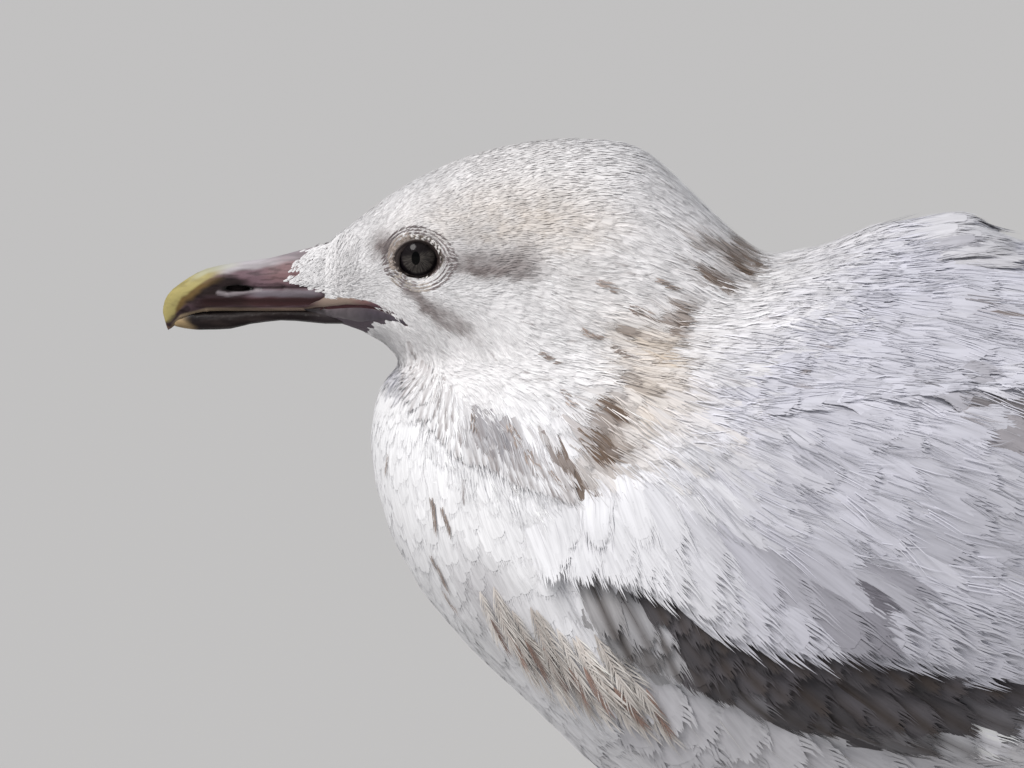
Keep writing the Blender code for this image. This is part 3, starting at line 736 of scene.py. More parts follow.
def thread(points, faces, start, bend, tip, width, lift, tone):
    """One barb as fine as a hair, from start over bend to tip, each given as (s, u)."""
    a = len(points)
    for (s, u), narrow, raised in ((start, 1.0, 0.0), (bend, 0.8, 0.7)):
        points.append((s, u - width * narrow, lift * raised, 0.0, tone))
        points.append((s, u + width * narrow, lift * raised, 0.0, tone))
    points.append((tip[0], tip[1], lift, 0.0, tone))
    faces += [(a, a + 2, a + 3, a + 1), (a + 2, a + 4, a + 3)]


def silk_vane(
    rng, columns=6, rows=7, hairs=20, slant=0.24, widest=0.5, core=0.84, last=0.88, width=0.028, shaft=True,
    shades=(0.88, 0.95, 1.0, 1.06),
):
    """A large soft vane: a smooth sheet, whose edge dissolves in fine threads that run on to the tip."""
    points, faces = [], []
    odds = (0.12, 0.28, 0.36, 0.24)
    for row in range(rows + 1):
        s = last * math.sin(row / rows * math.pi / 2) ** 0.85
        for column in range(columns + 1):
            u = (-1.0 + 2.0 * column / columns) * core * rounded_breadth(s, widest, last * 1.01)
            points.append((s, u, 0.0, 0.0, 1.0))
    add_sheet(faces, 0, rows, columns)
    for side in (-1.0, 1.0):
        for k in range(hairs):
            s = last * (0.15 + 0.80 * (k + rng.uniform(-0.4, 0.4)) / hairs)
            edge = side * core * rounded_breadth(min(s, last * 0.97), widest, last * 1.01)
            run, tone = slant * rng.uniform(0.6, 1.2), rng.choice(shades, p=odds)
            flare = side * rng.uniform(0.05, 0.16)
            end = (s + run, edge * (1.0 - 0.45 * run * k / hairs) + flare)
            bend = (s + run * 0.5, edge + flare * 0.8)
            thread(points, faces, (s - 0.05, edge * 0.93), bend, end, width, rng.normal(0, 0.01), tone)
    for k in range(hairs):
        spread = (2 * k + 1) / hairs - 1.0 + rng.normal(0.0, 0.05)
        s = last * (1.0 - 0.22 * spread**2)
        run, tone = slant * rng.uniform(0.25, 0.65), rng.choice(shades, p=odds)
        u = spread * 0.66
        end = (s + run, u * 1.12 + rng.normal(0.0, 0.04))
        bend = (s + run * 0.5, u * 1.08)
        thread(points, faces, (s - 0.08, u), bend, end, width * 1.1, rng.normal(0, 0.01), tone)
    if shaft:
        add_sheet(faces, len(points), 4)
        for row in range(5):
            narrow = 0.014 * (1.0 - 0.2 * row)
            points += [(last * row / 4, out, 0.010, 1.0, 1.0) for out in (-narrow, narrow)]
    return pattern(points, faces)


def loose_threads(rng, count, tone, bow=0.3, width=0.03):
    """A few loose barbs that lie side by side."""
    points, faces = [], []
    for _ in range(count):
        u, s, turn = rng.uniform(-0.8, 0.8), rng.uniform(0.0, 0.25), rng.normal(0.0, bow)
        end = s + rng.uniform(0.55, 0.75)
        shade = tone * rng.normal(1.0, 0.06)
        bend = ((s + end) / 2, u + turn * 0.35)
        thread(points, faces, (s, u), bend, (end, u + turn), width, rng.uniform(0.0, 0.03), shade)
    return pattern(points, faces)


def ragged_vane(rng, barbs=16, slant=0.34, width=0.07):
    """A worn, hairy vane: separate barbs that slant from a thin shaft, with gaps between them."""
    points, faces = [], []
    for k in range(2 * barbs):
        start, run = 0.9 * k / (2 * barbs), slant * rng.uniform(0.7, 1.3)
        reach = rounded_breadth(min(start + 0.1, 0.9), 0.45) * rng.uniform(0.5, 1.1) * (1 if k % 2 else -1)
        lift, tone = rng.normal(0.0, 0.05), rng.choice((0.78, 0.95, 1.08))
        bend, end = (start + run * 0.5, reach * 0.6), (start + run, reach)
        thread(points, faces, (start, 0.0), bend, end, width, lift, tone)
    thread(points, faces, (0.0, 0.0), (0.6, 0.0), (1.0, 0.0), 0.05, 0.04, 1.15)
    return pattern(points, faces)


# %% [markdown]
# Light falls on a coat as on the body beneath it, softly, and not as on a thousand slips of paper. So each
# feather keeps the shading of the body, tipped by only a part of its own slope, and the coat looks dense
# and silky.
#
# To lay a feather, its shaft is walked in short steps from the root: each step follows the lie of the coat
# and drops back onto the skin. Where the skin turns away sharply, as in the fold under the throat, the
# feather carries on straight instead, as a real one does. The pattern is then read off along that path.

# %% Laying feathers on a surface
BODY_AXIS, HEAD_AXIS = 165.0, 237.0  # heights
BLUNT_END = 380.0
SHARP_BEND = 0.55  # the cosine of a turn that is too sharp for a feather
FAR_OFF = 0.35  # how far it may drop to the skin, as a share of its length


def steady(points, normals):
    """Where the ground ends in a blunt step that faces back, feathers take the body's round instead."""
    along, side, height = measures(points)
    round_out = unit(np.stack([np.zeros_like(side), side * 1.6, height - BODY_AXIS], axis=1))
    blunt = (np.abs(normals[:, 0]) > 0.6) & (along > BLUNT_END)
    level = np.full_like(side, -0.25)
    cheek = unit(np.stack([level, np.sign(side), (height - HEAD_AXIS) * 0.07], axis=1))
    snout = (along < 52.0) & (height > 230.0) & (height < 252.0)
    return np.where(blunt[:, None], round_out, np.where(snout[:, None], cheek, normals))


def walk(ground, roots, normals, lengths, slopes, stations, turns=0.0):
    """The path of each shaft: places and normals, one row for each station."""
    steps = (np.broadcast_to(lengths, len(roots)) / (stations - 1))[:, None]
    turns = np.broadcast_to(turns, len(roots))[:, None]
    normals = steady(roots, normals)
    places, facing = [roots], [normals]
    heading = lie(roots, normals, slopes)
    for _ in range(stations - 1):
        heading = unit(heading + np.cross(normals, heading) * turns)
        ahead = places[-1] + heading * steps * MM
        found, found_normals = ground.nearest(ahead)
        found_normals = steady(found, found_normals)
        bent = np.sum(found_normals * normals, axis=1) < SHARP_BEND
        far = np.linalg.norm(found - ahead, axis=1) > FAR_OFF * lengths * MM
        keep = (bent | far)[:, None]
        places.append(np.where(keep, ahead, found))
        normals = np.where(keep, normals, found_normals)
        facing.append(normals)
        heading = np.where(keep, heading, unit(heading + 2.0 * lie(places[-1], normals, slopes)))
    return np.stack(places, axis=1), np.stack(facing, axis=1)


RELIEF = 0.55  # how much of its own slope a feather's shading keeps


def lay(vane, paths, facing, halves, low, high, cup, roll=0.0):
    """Bends one pattern along many paths. Returns places and shading normals, each (feathers, points, 3)."""
    stations = paths.shape[1]
    halves, low, high, roll = (np.broadcast_to(value, len(paths)) for value in (halves, low, high, roll))
    place = np.clip(vane.s, 0.0, 1.0) * (stations - 1)
    near = np.minimum(place.astype(int), stations - 2)
    share = (place - near)[None, :, None]
    centre = paths[:, near] * (1 - share) + paths[:, near + 1] * share
    normal = unit(facing[:, near] * (1 - share) + facing[:, near + 1] * share)
    along = unit(paths[:, near + 1] - paths[:, near])
    across = unit(np.cross(normal, along))
    lengths = np.linalg.norm(paths[:, -1] - paths[:, 0], axis=1)[:, None, None]
    over = np.maximum(vane.s - 1.0, 0.0)[None, :, None] * lengths
    half = halves[:, None] * MM
    out = vane.u[None, :] * half
    up = (low[:, None] + (high - low)[:, None] * np.clip(vane.s, 0, 1.1)[None, :] ** 1.2) * MM
    up = up - cup * vane.u[None, :] ** 2 * half + roll[:, None] * out + vane.rise[None, :] * half
    lean = ((high - low) * MM)[:, None, None] / lengths
    turned = (2.0 * cup * vane.u[None, :] - roll[:, None])[..., None]
    shading = unit(normal + (across * turned - along * lean) * RELIEF)
    return centre + along * over + across * out[..., None] + normal * up[..., None], shading


# %% [markdown]
# All the feathers of one tract become one mesh. Each point remembers the colour of its feather, and two
# maps go with the mesh. "Vane" holds u and s, for the fine lines of the barbs. "OFBake" gives each feather
# a tiny patch at its root's place on an unrolled bird, where one side is the way round the body and the
# other the way back along it.

# %% Joining a tract into one mesh
PATCH = 0.003
UNROLL_FROM = np.array(at(44.0, 0.0, 238.0))
UNROLL_LENGTH = 0.56


def unrolled(roots):
    """Each root's place on the unrolled bird, from 0 to 1 both ways."""
    along, side, height = measures(roots)
    axis = np.interp(along, (40.0, 120.0, 200.0, 550.0), (238.0, 205.0, 165.0, 186.0))
    around = np.arctan2(side, height - axis) / (2 * math.pi) + 0.5
    back = np.linalg.norm(roots - UNROLL_FROM, axis=1) / UNROLL_LENGTH
    return np.stack([around, back], axis=1) * 0.98 + 0.01


def add_values(mesh, name, values):
    attribute = mesh.attributes.new(name, "FLOAT_COLOR", "POINT")
    filled = np.concatenate([values, np.ones((len(values), 1))], axis=1)
    attribute.data.foreach_set("color", filled.astype(np.float32).ravel())


def add_map(mesh, name, coordinates):
    layer = mesh.uv_layers.new(name=name)
    corners = np.empty(len(mesh.loops), np.int32)
    mesh.loops.foreach_get("vertex_index", corners)
    layer.data.foreach_set("uv", coordinates[corners].astype(np.float32).ravel())


def tract_mesh(name, batches):
    """One mesh from batches of (vane, (places, shading normals), roots, colours)."""
    points, normals, colours, vanes, patches, loops, sizes = [], [], [], [], [], [], []
    first = 0
    for vane, laid, roots, shades in batches:
        count, size = laid[0].shape[:2]
        points.append(laid[0].reshape(-1, 3))
        normals.append(laid[1].reshape(-1, 3))
        colours.append(shades.reshape(-1, 3))
        flat = np.stack([vane.u * 0.5 + 0.5, vane.s], axis=1)
        vanes.append(np.tile(flat, (count, 1)))
        patches.append((unrolled(roots)[:, None, :] + (flat[None] - 0.5) * PATCH).reshape(-1, 2))
        corners = np.concatenate([np.array(face) for face in vane.faces])
        starts = first + np.arange(count) * size
        loops.append((starts[:, None] + corners[None, :]).ravel())
        sizes.append(np.tile([len(face) for face in vane.faces], count))
        first += count * size
    points, loops, sizes = np.concatenate(points), np.concatenate(loops), np.concatenate(sizes)
    mesh = bpy.data.meshes.new(name)
    mesh.vertices.add(len(points))
    mesh.vertices.foreach_set("co", points.astype(np.float32).ravel())
    mesh.loops.add(len(loops))
    mesh.loops.foreach_set("vertex_index", loops.astype(np.int32))
    mesh.polygons.add(len(sizes))
    mesh.polygons.foreach_set("loop_start", np.concatenate([[0], np.cumsum(sizes)[:-1]]).astype(np.int32))
    mesh.update(calc_edges=True)
    add_values(mesh, "Plume", np.concatenate(colours))
    add_map(mesh, "Vane", np.concatenate(vanes))
    add_map(mesh, "OFBake", np.concatenate(patches))
    mesh.polygons.foreach_set("use_smooth", np.ones(len(mesh.polygons), bool))
    mesh.normals_split_custom_set_from_vertices(np.concatenate(normals))
    print(f"{name}: {int((sizes - 2).sum())} triangles")
    return new_object(name, mesh)


# %% [markdown]
# ## Where feathers grow
#
# Feathers are spaced evenly, close where they are small. Many trial roots are scattered over the skin, and
# each one that is kept clears its neighbours within a distance that suits the feather's size there.

# %% Scattering roots over the skin
VANE_SHARE = 0.47  # of the box round a feather
TRIES = 4.0  # for each root that fits


def scatter_roots(rng, keep, crowding):
    """Evenly spaced roots on the skin where keep(points) is true."""
    points = points_of(skin)
    corners = points[[list(face.vertices) for face in skin.data.polygons]]
    middle = corners.mean(axis=1)
    chosen = keep(middle)
    corners, middle = corners[chosen], middle[chosen]
    area = np.linalg.norm(np.cross(corners[:, 2] - corners[:, 0], corners[:, 3] - corners[:, 1]), axis=1) / 2
    values = guided(middle)
    spacing = crowding * np.sqrt(values[:, 1] * values[:, 2] * VANE_SHARE) * MM
    tries = rng.poisson(area / spacing**2 * TRIES)
    face = np.repeat(np.arange(len(area)), tries)
    a, b = rng.random(len(face))[:, None], rng.random(len(face))[:, None]
    q = corners[face]
    spots = (q[:, 0] * (1 - a) + q[:, 1] * a) * (1 - b) + (q[:, 3] * (1 - a) + q[:, 2] * a) * b
    order = rng.permutation(len(spots))
    spots, reach = spots[order], spacing[face][order]
    tree = kdtree.KDTree(len(spots))
    for i, spot in enumerate(spots):
        tree.insert(spot, i)
    tree.balance()
    free = np.ones(len(spots), bool)
    kept = []
    for i in range(len(spots)):
        if free[i]:
            kept.append(i)
            for _, j, _ in tree.find_range(spots[i], reach[i]):
                free[j] = False
    return spots[kept]


def off_the_eye(points, radius):
    along, _, height = measures(points)
    return np.hypot((along - EYE_ALONG) / 1.08, (height - EYE_HEIGHT) / 0.95) > radius


# %% [markdown]
# A feather isn't one flat colour. It has a shade of its own, some have a dark streak along the shaft, worn
# ones have a pale margin, and the shaft of a large feather shines white. Looks gathers these few numbers
# under one name.

# %% Colouring feathers
Looks = namedtuple(
    "Looks", "contrast streak streak_colour margin margin_colour shaft_colour", defaults=(None,) * 5
)
SHAFT_WHITE = (0.80, 0.78, 0.76)


def shaded(rng, vane, base, looks, streaks):
    """Colours for every point of every feather."""
    own = 1.0 + looks.contrast * rng.normal(0.0, 1.0, len(base))
    colours = (base * own[:, None])[:, None, :] * vane.tone[None, :, None]
    if looks.streak:
        dark = (rng.random(len(base)) < streaks) * rng.uniform(0.35, 1.0, len(base)) * looks.streak
        share = dark[:, None] * np.clip(1.25 - np.abs(vane.u)[None, :] * 3.0, 0.0, 1.0)
        colours = colours + (np.asarray(looks.streak_colour) - colours) * share[..., None]
    if looks.margin:
        edge = np.maximum((np.abs(vane.u) - 0.55) / 0.45, (vane.s - 0.80) / 0.2)
        share = looks.margin * np.clip(edge, 0.0, 1.0)[None, :, None]
        colours = colours + (np.asarray(looks.margin_colour) - colours) * share
    if looks.shaft_colour:
        share = vane.shaft[None, :, None]
        colours = colours + (np.asarray(looks.shaft_colour) - colours) * share
    return np.clip(colours, 0.01, 0.96)


Tract = namedtuple(
    "Tract",
    "seed keep patterns crowding looks streaks rise cup low unevenness stretch",
    defaults=(0.10, 1.0),
)
LOCKS = 0.8  # how strongly neighbours turn the same way
ROOTS_OFF_EYE, TIPS_OFF_EYE = 7.2, 6.9


def dressed(rng, patterns, chosen, shafts, low, cup, looks):
    """Batches of feathers for one mesh. Each chosen shaft wears one of the patterns."""
    pick = rng.integers(0, len(patterns), len(chosen))
    batches = []
    for number, vane in enumerate(patterns):
        mine = chosen & (pick == number)
        if mine.any():
            roots, paths, facing, halves, highs, rolls, base, streaks = (column[mine] for column in shafts)
            laid = lay(vane, paths, facing, halves, low, highs, cup, rolls)
            batches.append((vane, laid, roots, shaded(rng, vane, base, looks, streaks)))
    return batches


def coat(name, tract):
    """Feathers all over a stretch of skin. Stretch makes each that much larger than the guides say."""
    rng = np.random.default_rng(tract.seed)
    stretch = tract.stretch
    roots, normals = body.nearest(scatter_roots(rng, tract.keep, tract.crowding * stretch))
    values = guided(roots)
    count = len(roots)
    lengths = stretch * values[:, 1] * rng.normal(1.0, 0.14, count).clip(0.6, 1.5)
    halves = stretch * values[:, 2] * rng.normal(1.0, 0.12, count).clip(0.7, 1.4)
    stations = 4 if stretch < 1.3 else 7
    turns = rng.normal(0.0, 0.08 / stretch, count) + LOCKS * grain(roots, 9.0, 3.0) / (stations - 1)
    paths, facing = walk(body, roots, normals, lengths, None, stations, turns)
    clear = off_the_eye(roots, ROOTS_OFF_EYE)
    for station in (stations // 2, -1):
        clear &= off_the_eye(paths[:, station], TIPS_OFF_EYE)
    # Nothing stands on edge in the crease between a wing and the back, or faces along the bird at the rear.
    clear &= (np.sign(paths[..., 1]) * facing[..., 1] > -0.3).all(axis=1)
    along, _, height = measures(roots)
    clear &= ~((np.abs(facing[..., 0]) > 0.7).any(axis=1) & (along > 250) & (height > 170))
    highs = values[:, 3] * tract.rise * rng.normal(1.0, 0.15, count).clip(0.5, 1.6)
    rolls = rng.normal(0.0, tract.unevenness, count)
    base = plumage(paths[:, int(stations * (0.7 if stretch < 1.6 else 0.3))])
    streaks = tract.streaks(roots) if callable(tract.streaks) else np.full(count, tract.streaks)
    shafts = (roots, paths, facing, halves, highs, rolls, base, streaks)
    batches = dressed(rng, tract.patterns, clear, shafts, tract.low, tract.cup, tract.looks)
    return clothe(tract_mesh(name, batches), fur_like, "plumage")


# %% [markdown]
# The coat's material takes its colour from the feather and adds what is too fine to model: the hair lines
# of the barbs, which slant away from the shaft, as a slight change of colour and height.

# %% Material of the feathers
def feather_finish(name, slant, lines, depth, roughness):
    soft_gloss = {"Specular_IOR_Level": 0.22, "Sheen_Weight": 0.15, "Sheen_Roughness": 0.5}
    finish = Finish(name, Roughness=roughness, **soft_gloss)
    spot = finish.node("ShaderNodeUVMap", {"uv_map": "Vane"})
    across = finish.node("ShaderNodeSeparateXYZ", {}, {0: spot}, "X") - 0.5
    along = finish.node("ShaderNodeSeparateXYZ", {}, {0: spot}, "Y")
    if slant:
        out = across.sum_of("ABSOLUTE", across)
        hair_lines = {0: across * 2.0, 1: (along - out * slant) * lines}
    else:
        hair_lines = {0: across * lines, 1: along * 1.5}
    turned = finish.node("ShaderNodeCombineXYZ", {}, hair_lines)
    shifted = finish.node("ShaderNodeVectorMath", {"operation": "ADD"}, {0: turned, 1: (3.1, 7.7, 0.0)})
    hairs = finish.node(
        "ShaderNodeTexNoise", {}, {"Vector": shifted, "Scale": 1.0, "Detail": 2.0, "Roughness": 0.7}
    )
    shade = 1.0 - (1.0 - hairs.ramp(0.30, 0.62)) * 0.16
    tone = finish.node("ShaderNodeCombineColor", {}, {0: shade, 1: shade, 2: shade})
    blended = {"data_type": "RGBA", "blend_type": "MULTIPLY"}
    colour = finish.node("ShaderNodeMix", blended, {0: 1.0, 6: finish.attribute("Plume"), 7: tone}, 2)
    return finish.finish(colour=colour, height=hairs, depth=depth)


fur_like = feather_finish("small feathers", 0, 9.0, 0.06, 0.75)
firm = feather_finish("large feathers", 0.75, 55.0, 0.10, 0.62)
skin_finish = Finish("skin under the feathers", Roughness=0.85, Specular_IOR_Level=0.2)
skin_down = skin_finish.mottle(900.0, 4.0, (0.35, 1.0, 1.0))
skin_material = skin_finish.finish(colour=skin_finish.attribute("Plume"), height=skin_down, depth=0.5)
MOUTH = ((42, 231.3), (49, 231.6), (55, 232.8), (61, 233), (66, 232), (70.5, 230.2), (74.5, 228))
FURROW = (0.060, 0.022, 0.026)
GAPE_SKIN = (0.105, 0.085, 0.100)
EYE_HOLLOW = (0.045, 0.034, 0.032)


def span_to(line, along, height):
    """How far each point is from a line of points in the side view."""
    line = np.array(line, float)
    best = np.full(len(along), 1e9)
    for (a0, h0), (a1, h1) in zip(line[:-1], line[1:]):
        da, dh = a1 - a0, h1 - h0
        share = np.clip(((along - a0) * da + (height - h0) * dh) / (da * da + dh * dh), 0.0, 1.0)
        best = np.minimum(best, np.hypot(along - a0 - share * da, height - h0 - share * dh))
    return best


def bare_gape(points):
    """Bare skin: the strip back from the bill to the corner of the mouth, and the sides of the chin."""
    along, _, height = measures(points)
    along = along + 2.2 * grain(points, 1.0, 21.0)
    height = height + 1.4 * grain(points, 0.8, 23.0)
    upper = np.interp(along, (40.0, 50.0, 55.0, 60.0, 66.0, 74.5), (236.9, 236.0, 235.9, 235.0, 233.2, 228.6))
    lower = np.interp(along, (40.0, 58.0, 61.0, 64.0, 70.0, 74.5), (210.0, 221.0, 226.0, 228.0, 228.6, 227.8))
    return (along < 74.5) & (height < upper) & (height > lower)


def skin_colours(points):
    along, _, height = measures(points)
    mouth = 1.0 - soft_step(span_to(MOUTH, along, height), 1.0, 1.8)
    eye = 1.0 - soft_step(np.hypot(along - EYE_ALONG, height - EYE_HEIGHT), 7.5, 9.0)
    bare = np.maximum(bare_gape(points), bare_gape(points + np.array([-1.2, 0.0, 1.0]) * MM))
    return painted(plumage(points) * 0.92, (GAPE_SKIN, bare * 1.0), (FURROW, mouth), (EYE_HOLLOW, eye))


add_values(skin.data, "Plume", skin_colours(points_of(skin)))
clothe(skin, skin_material, "plumage", *FLESH)

# %% [markdown]
# The small feathers of the head are like short fur, and they grow longer and looser down the neck. Each
# stretch of the body is a mesh of its own, which keeps every one small enough to handle.

# %% The coat, stretch by stretch
def head_part(points):
    along, _, height = measures(points)
    return ((along - 72.0) * 0.66 - (height - 217.0) * 0.75 < 0.0) | ((along < 82.0) & (height > 211.0))


def neck_part(points):
    along, _, height = measures(points)
    foot = along - 66.0 - (height - 173.0) * 1.35
    return ~head_part(points) & (foot < 52.0) & (height > np.interp(along, *zip(*NECK_HEM)))


def upper_part(points):
    along, _, height = measures(points)
    return ~head_part(points) & ~neck_part(points) & (height > 150.0) & (along > 118.0)


def lower_part(points):
    return ~head_part(points) & ~neck_part(points) & ~upper_part(points)


def along_hem(points):
    """The strip above the hem, which only the rows of hanging feathers cover."""
    along, _, height = measures(points)
    over = height - np.interp(along, *zip(*HEM))
    deep = np.interp(along, (128, 150, 190, 240, 300), (8, 19, 19, 12, 10))
    return (over > -1.0) & (over < deep) & (along > 128) & (along < 318)


SCAPULAR_EDGE = (
    (120, 172), (145, 163), (174, 152), (196, 144), (220, 140), (248, 136), (275, 138), (305, 150),
    (345, 172),
)


def scapular_part(points):
    """Where the large soft feathers of the shoulder cover the folded wing."""
    along, _, height = measures(points)
    behind = along - 138.0 - np.clip(height - 196.0, 0.0, None) * 0.75
    edge = np.interp(along, *zip(*SCAPULAR_EDGE))
    return (behind > 0.0) & (height > edge) & (height < 236.0) & (along < 335.0) & ~along_hem(points)


def streak_rate(points):
    """How many of the head's feathers carry a dark streak."""
    along, _, height = measures(points)
    crown = soft_step(height, 254, 264) * soft_step(along, 66, 84)
    return 0.06 + 0.15 * crown + 0.06 * soft_step(along, 84, 100)


def feathered_head(points):
    return head_part(points) & ~bare_gape(points)


def fore_neck(points):
    along, _, height = measures(points)
    return neck_part(points) & (along + (height - 200.0) * 0.3 < 112.0)


def hind_neck(points):
    return neck_part(points) & ~fore_neck(points)


def back_part(points):
    return upper_part(points) & ~scapular_part(points) & ~along_hem(points)


def breast_part(points):
    return lower_part(points) & ~along_hem(points)


def fore_back(points):
    return upper_part(points) & (measures(points)[0] < 330)


def loose_vanes(rng, hairs, slant, widest, core, last, width, shades, fineness=3):
    """Six small soft vanes without a shaft."""
    size = (fineness, fineness, hairs, slant, widest, core, last, width, False, shades)
    return [silk_vane(rng, *size) for _ in range(6)]


rng = np.random.default_rng(11)
EVEN, STREAKY = (0.94, 0.98, 1.0, 1.02), (0.88, 0.95, 1.0, 1.06)
tufts = [soft_vane(rng, 3, 2, 0.3, 0.25, 0.25, 0.35) for _ in range(6)]
downs = loose_vanes(rng, 7, 0.46, 0.4, 0.74, 0.74, 0.075, STREAKY)
satin = loose_vanes(rng, 7, 0.30, 0.5, 0.80, 0.82, 0.05, (0.95, 0.98, 1.0, 1.01), 4)
silks = [silk_vane(rng, width=0.048, shades=(0.92, 0.97, 1.0, 1.03)) for _ in range(6)]
fine_silks = [silk_vane(rng, 6, 7, 38, 0.23, width=0.036, shades=(0.90, 0.96, 1.0, 1.03)) for _ in range(6)]
streak_threads = [loose_threads(rng, 6, tone, 0.25, 0.13) for tone in (0.9, 1.1)]
dark_threads = [loose_threads(rng, 4, tone) for tone in (0.74, 0.86, 1.12, 1.2)]
fore_downs = loose_vanes(rng, 7, 0.40, 0.4, 0.76, 0.76, 0.11, EVEN)
pale_threads = [loose_threads(rng, 4, tone, 0.35, 0.05) for tone in (0.78, 1.0, 1.12, 1.18)]

face_looks = Looks(0.07, 0.7, DUSK)
neck_looks = Looks(0.035, 0.9, DUSK)
back_looks = Looks(0.025, None, None, None, None, (0.60, 0.59, 0.62))
breast_looks = Looks(0.02, 0.6, BUFF)
TRACTS = {
    "head_feathers": Tract(1, feathered_head, tufts, 0.43, face_looks, streak_rate, 0.42, 0.25, 0.1),
    "fore_neck_feathers": Tract(2, fore_neck, fore_downs, 0.68, neck_looks, 0.03, 0.18, 0.2, 0.12, 0.04),
    "hind_neck_feathers": Tract(17, hind_neck, downs, 0.68, neck_looks, 0.08, 0.28, 0.2, 0.12, 0.04),
    "back_feathers": Tract(3, back_part, silks, 0.58, back_looks, 0.0, 0.14, 0.2, 0.15, 0.02, 1.8),
    "breast_and_belly_feathers": Tract(
        4, breast_part, satin, 0.66, breast_looks, 0.0, 0.13, 0.10, 0.10, 0.015, 1.45
    ),
}
for name, tract in TRACTS.items():
    coat(name, tract)

# %% [markdown]
# Loose threads lie over the neck and the back, darker or paler than what is under them. They are what one
# sees of single barbs from near by.

# %% Loose threads and streaks
coat("back_threads", Tract(14, fore_back, dark_threads, 0.80, Looks(0.05), 0.0, 0.4, 0.15, 0.8))
coat("neck_threads", Tract(15, neck_part, pale_threads, 0.85, Looks(0.05), 0.0, 0.7, 0.2, 0.6))
STREAK_BROWN = (0.33, 0.27, 0.24)


def streak_batches(rng, count=4):
    """Each streak is a few narrow dark tufts, one behind the other."""
    batches = []
    for side in SIDES.values():
        for streak in STREAKS:
            back = np.linspace(0.0, 0.6, count) * streak.length
            turn = np.radians(streak.slope)
            along = streak.along + back * np.cos(turn) + rng.normal(0.0, 0.25, count)
            height = streak.height - back * np.sin(turn) + rng.normal(0.0, 0.25, count)
            roots, normals = body.seen_from_side(along, height, side)
            slopes = streak.slope + rng.normal(0.0, 4.0, count)
            paths, facing = walk(body, roots, normals, streak.length * 0.55, slopes, 4)
            vane = streak_threads[int(rng.integers(2))]
            laid = lay(vane, paths, facing, streak.half * 1.9, 0.7, 1.3, 0.3)
            base = np.tile(np.array(STREAK_BROWN), (count, 1))
            batches.append((vane, laid, roots, shaded(rng, vane, base, Looks(0.15), 0.0)))
    return batches


clothe(tract_mesh("breast_streaks", streak_batches(np.random.default_rng(41))), fur_like, "plumage")

# %% [markdown]
# ## Large feathers in rows
#
# On the shoulder and the wing the feathers are large and stand in rows: the loose grey scapulars that hang
# over the folded wing, the coverts beneath them, and the long tertials and secondaries behind. A row is
# easiest to place by the line that its tips make in the side view, as that line is what one sees. Each
# feather is then measured back from its tip to its root, and walked forward again over the body.

# %% Rows of large feathers
# A row's vanes are firm ones where it names no others, and its colour of None stands for the markings.
Row = namedtuple("Row", "count tips slopes lengths halves low high colour looks patterns", defaults=(None,))

rng = np.random.default_rng(23)
firm_vanes = [firm_vane(rng) for _ in range(5)]
long_vanes = [firm_vane(rng, 6, 12, 40, 0.07, 0.03, 0.6, core=0.88) for _ in range(4)]
ragged_vanes = [ragged_vane(rng) for _ in range(4)]


def along_line(values, share):
    values = np.atleast_1d(np.array(values, float))
    return np.interp(share, np.linspace(0.0, 1.0, len(values)), values)


ROW_CUP = 0.16


def lay_row(rng, row, side, ground):
    count = row.count
    share = np.linspace(0.0, 1.0, count) + rng.normal(0.0, 0.12 / count, count)
    slopes = along_line(row.slopes, share) + rng.normal(0.0, 3.0, count)
    lengths = along_line(row.lengths, share) * rng.normal(1.0, 0.06, count)
    halves = along_line(row.halves, share) * rng.normal(1.0, 0.06, count)
    turn = np.radians(slopes)
    tip_along, tip_height = (along_line(column, share) for column in zip(*row.tips))
    along, height = tip_along - np.cos(turn) * lengths, tip_height + np.sin(turn) * lengths
    roots, normals = ground.seen_from_side(along, height, side)
    paths, facing = walk(ground, roots, normals, lengths, slopes, stations=8)
    highs = row.high * rng.normal(1.0, 0.10, count)
    rolls = rng.normal(0.0, 0.05, count)
    base = plumage(paths[:, 6]) if row.colour is None else np.tile(np.array(row.colour), (count, 1))
    shafts = (roots, paths, facing, halves, highs, rolls, base, np.ones(count))
    patterns = row.patterns or firm_vanes
    return dressed(rng, patterns, np.ones(count, bool), shafts, row.low, ROW_CUP, row.looks)


def rows_piece(name, seed, rows, ground, material=fur_like, nodes=(), slot="plumage"):
    rng = np.random.default_rng(seed)
    batches = []
    for side in SIDES.values():
        for row in rows:
            batches += lay_row(rng, row, side, ground)
    return clothe(tract_mesh(name, batches), material, slot, *nodes)


# %% [markdown]
# Each kind of row has a function of its own, which holds what its rows share. Low and high say how far above
# the skin a feather starts and ends, so that the upper rows lie over the lower ones.

# %% Scapulars, coverts and long feathers of the side
CREAM = (0.74, 0.70, 0.66)
soft_grey = Looks(0.03, None, None, None, None, (0.60, 0.59, 0.63))
side_grey = Looks(0.04, None, None, 0.25, WHITE, SHAFT_WHITE)
mottled = Looks(0.25, 0.9, DARK_BROWN, 0.12, (0.15, 0.13, 0.13), DARK_BROWN)
worn_brown = Looks(0.10, 0.7, BROWN, 0.75, (0.66, 0.61, 0.55), (0.30, 0.24, 0.19))
dark = Looks(0.08, None, None, 0.45, (0.36, 0.31, 0.27), (0.10, 0.08, 0.07))
scruffy = Looks(0.10, 0.5, (0.34, 0.26, 0.22))


def hanging_row(shift, high):
    """A row of scapulars over the hem."""
    slopes, lengths = (70, 62, 50, 42, 36, 30, 24, 12, 4), (24, 34, 44, 50, 52, 54, 54, 52, 50)
    tips = [(a + shift * 0.45, h + shift) for a, h in HEM]
    return Row(26, tips, slopes, lengths, (5.5, 7.5, 9, 9.5), -0.8, high, None, soft_grey, fine_silks)


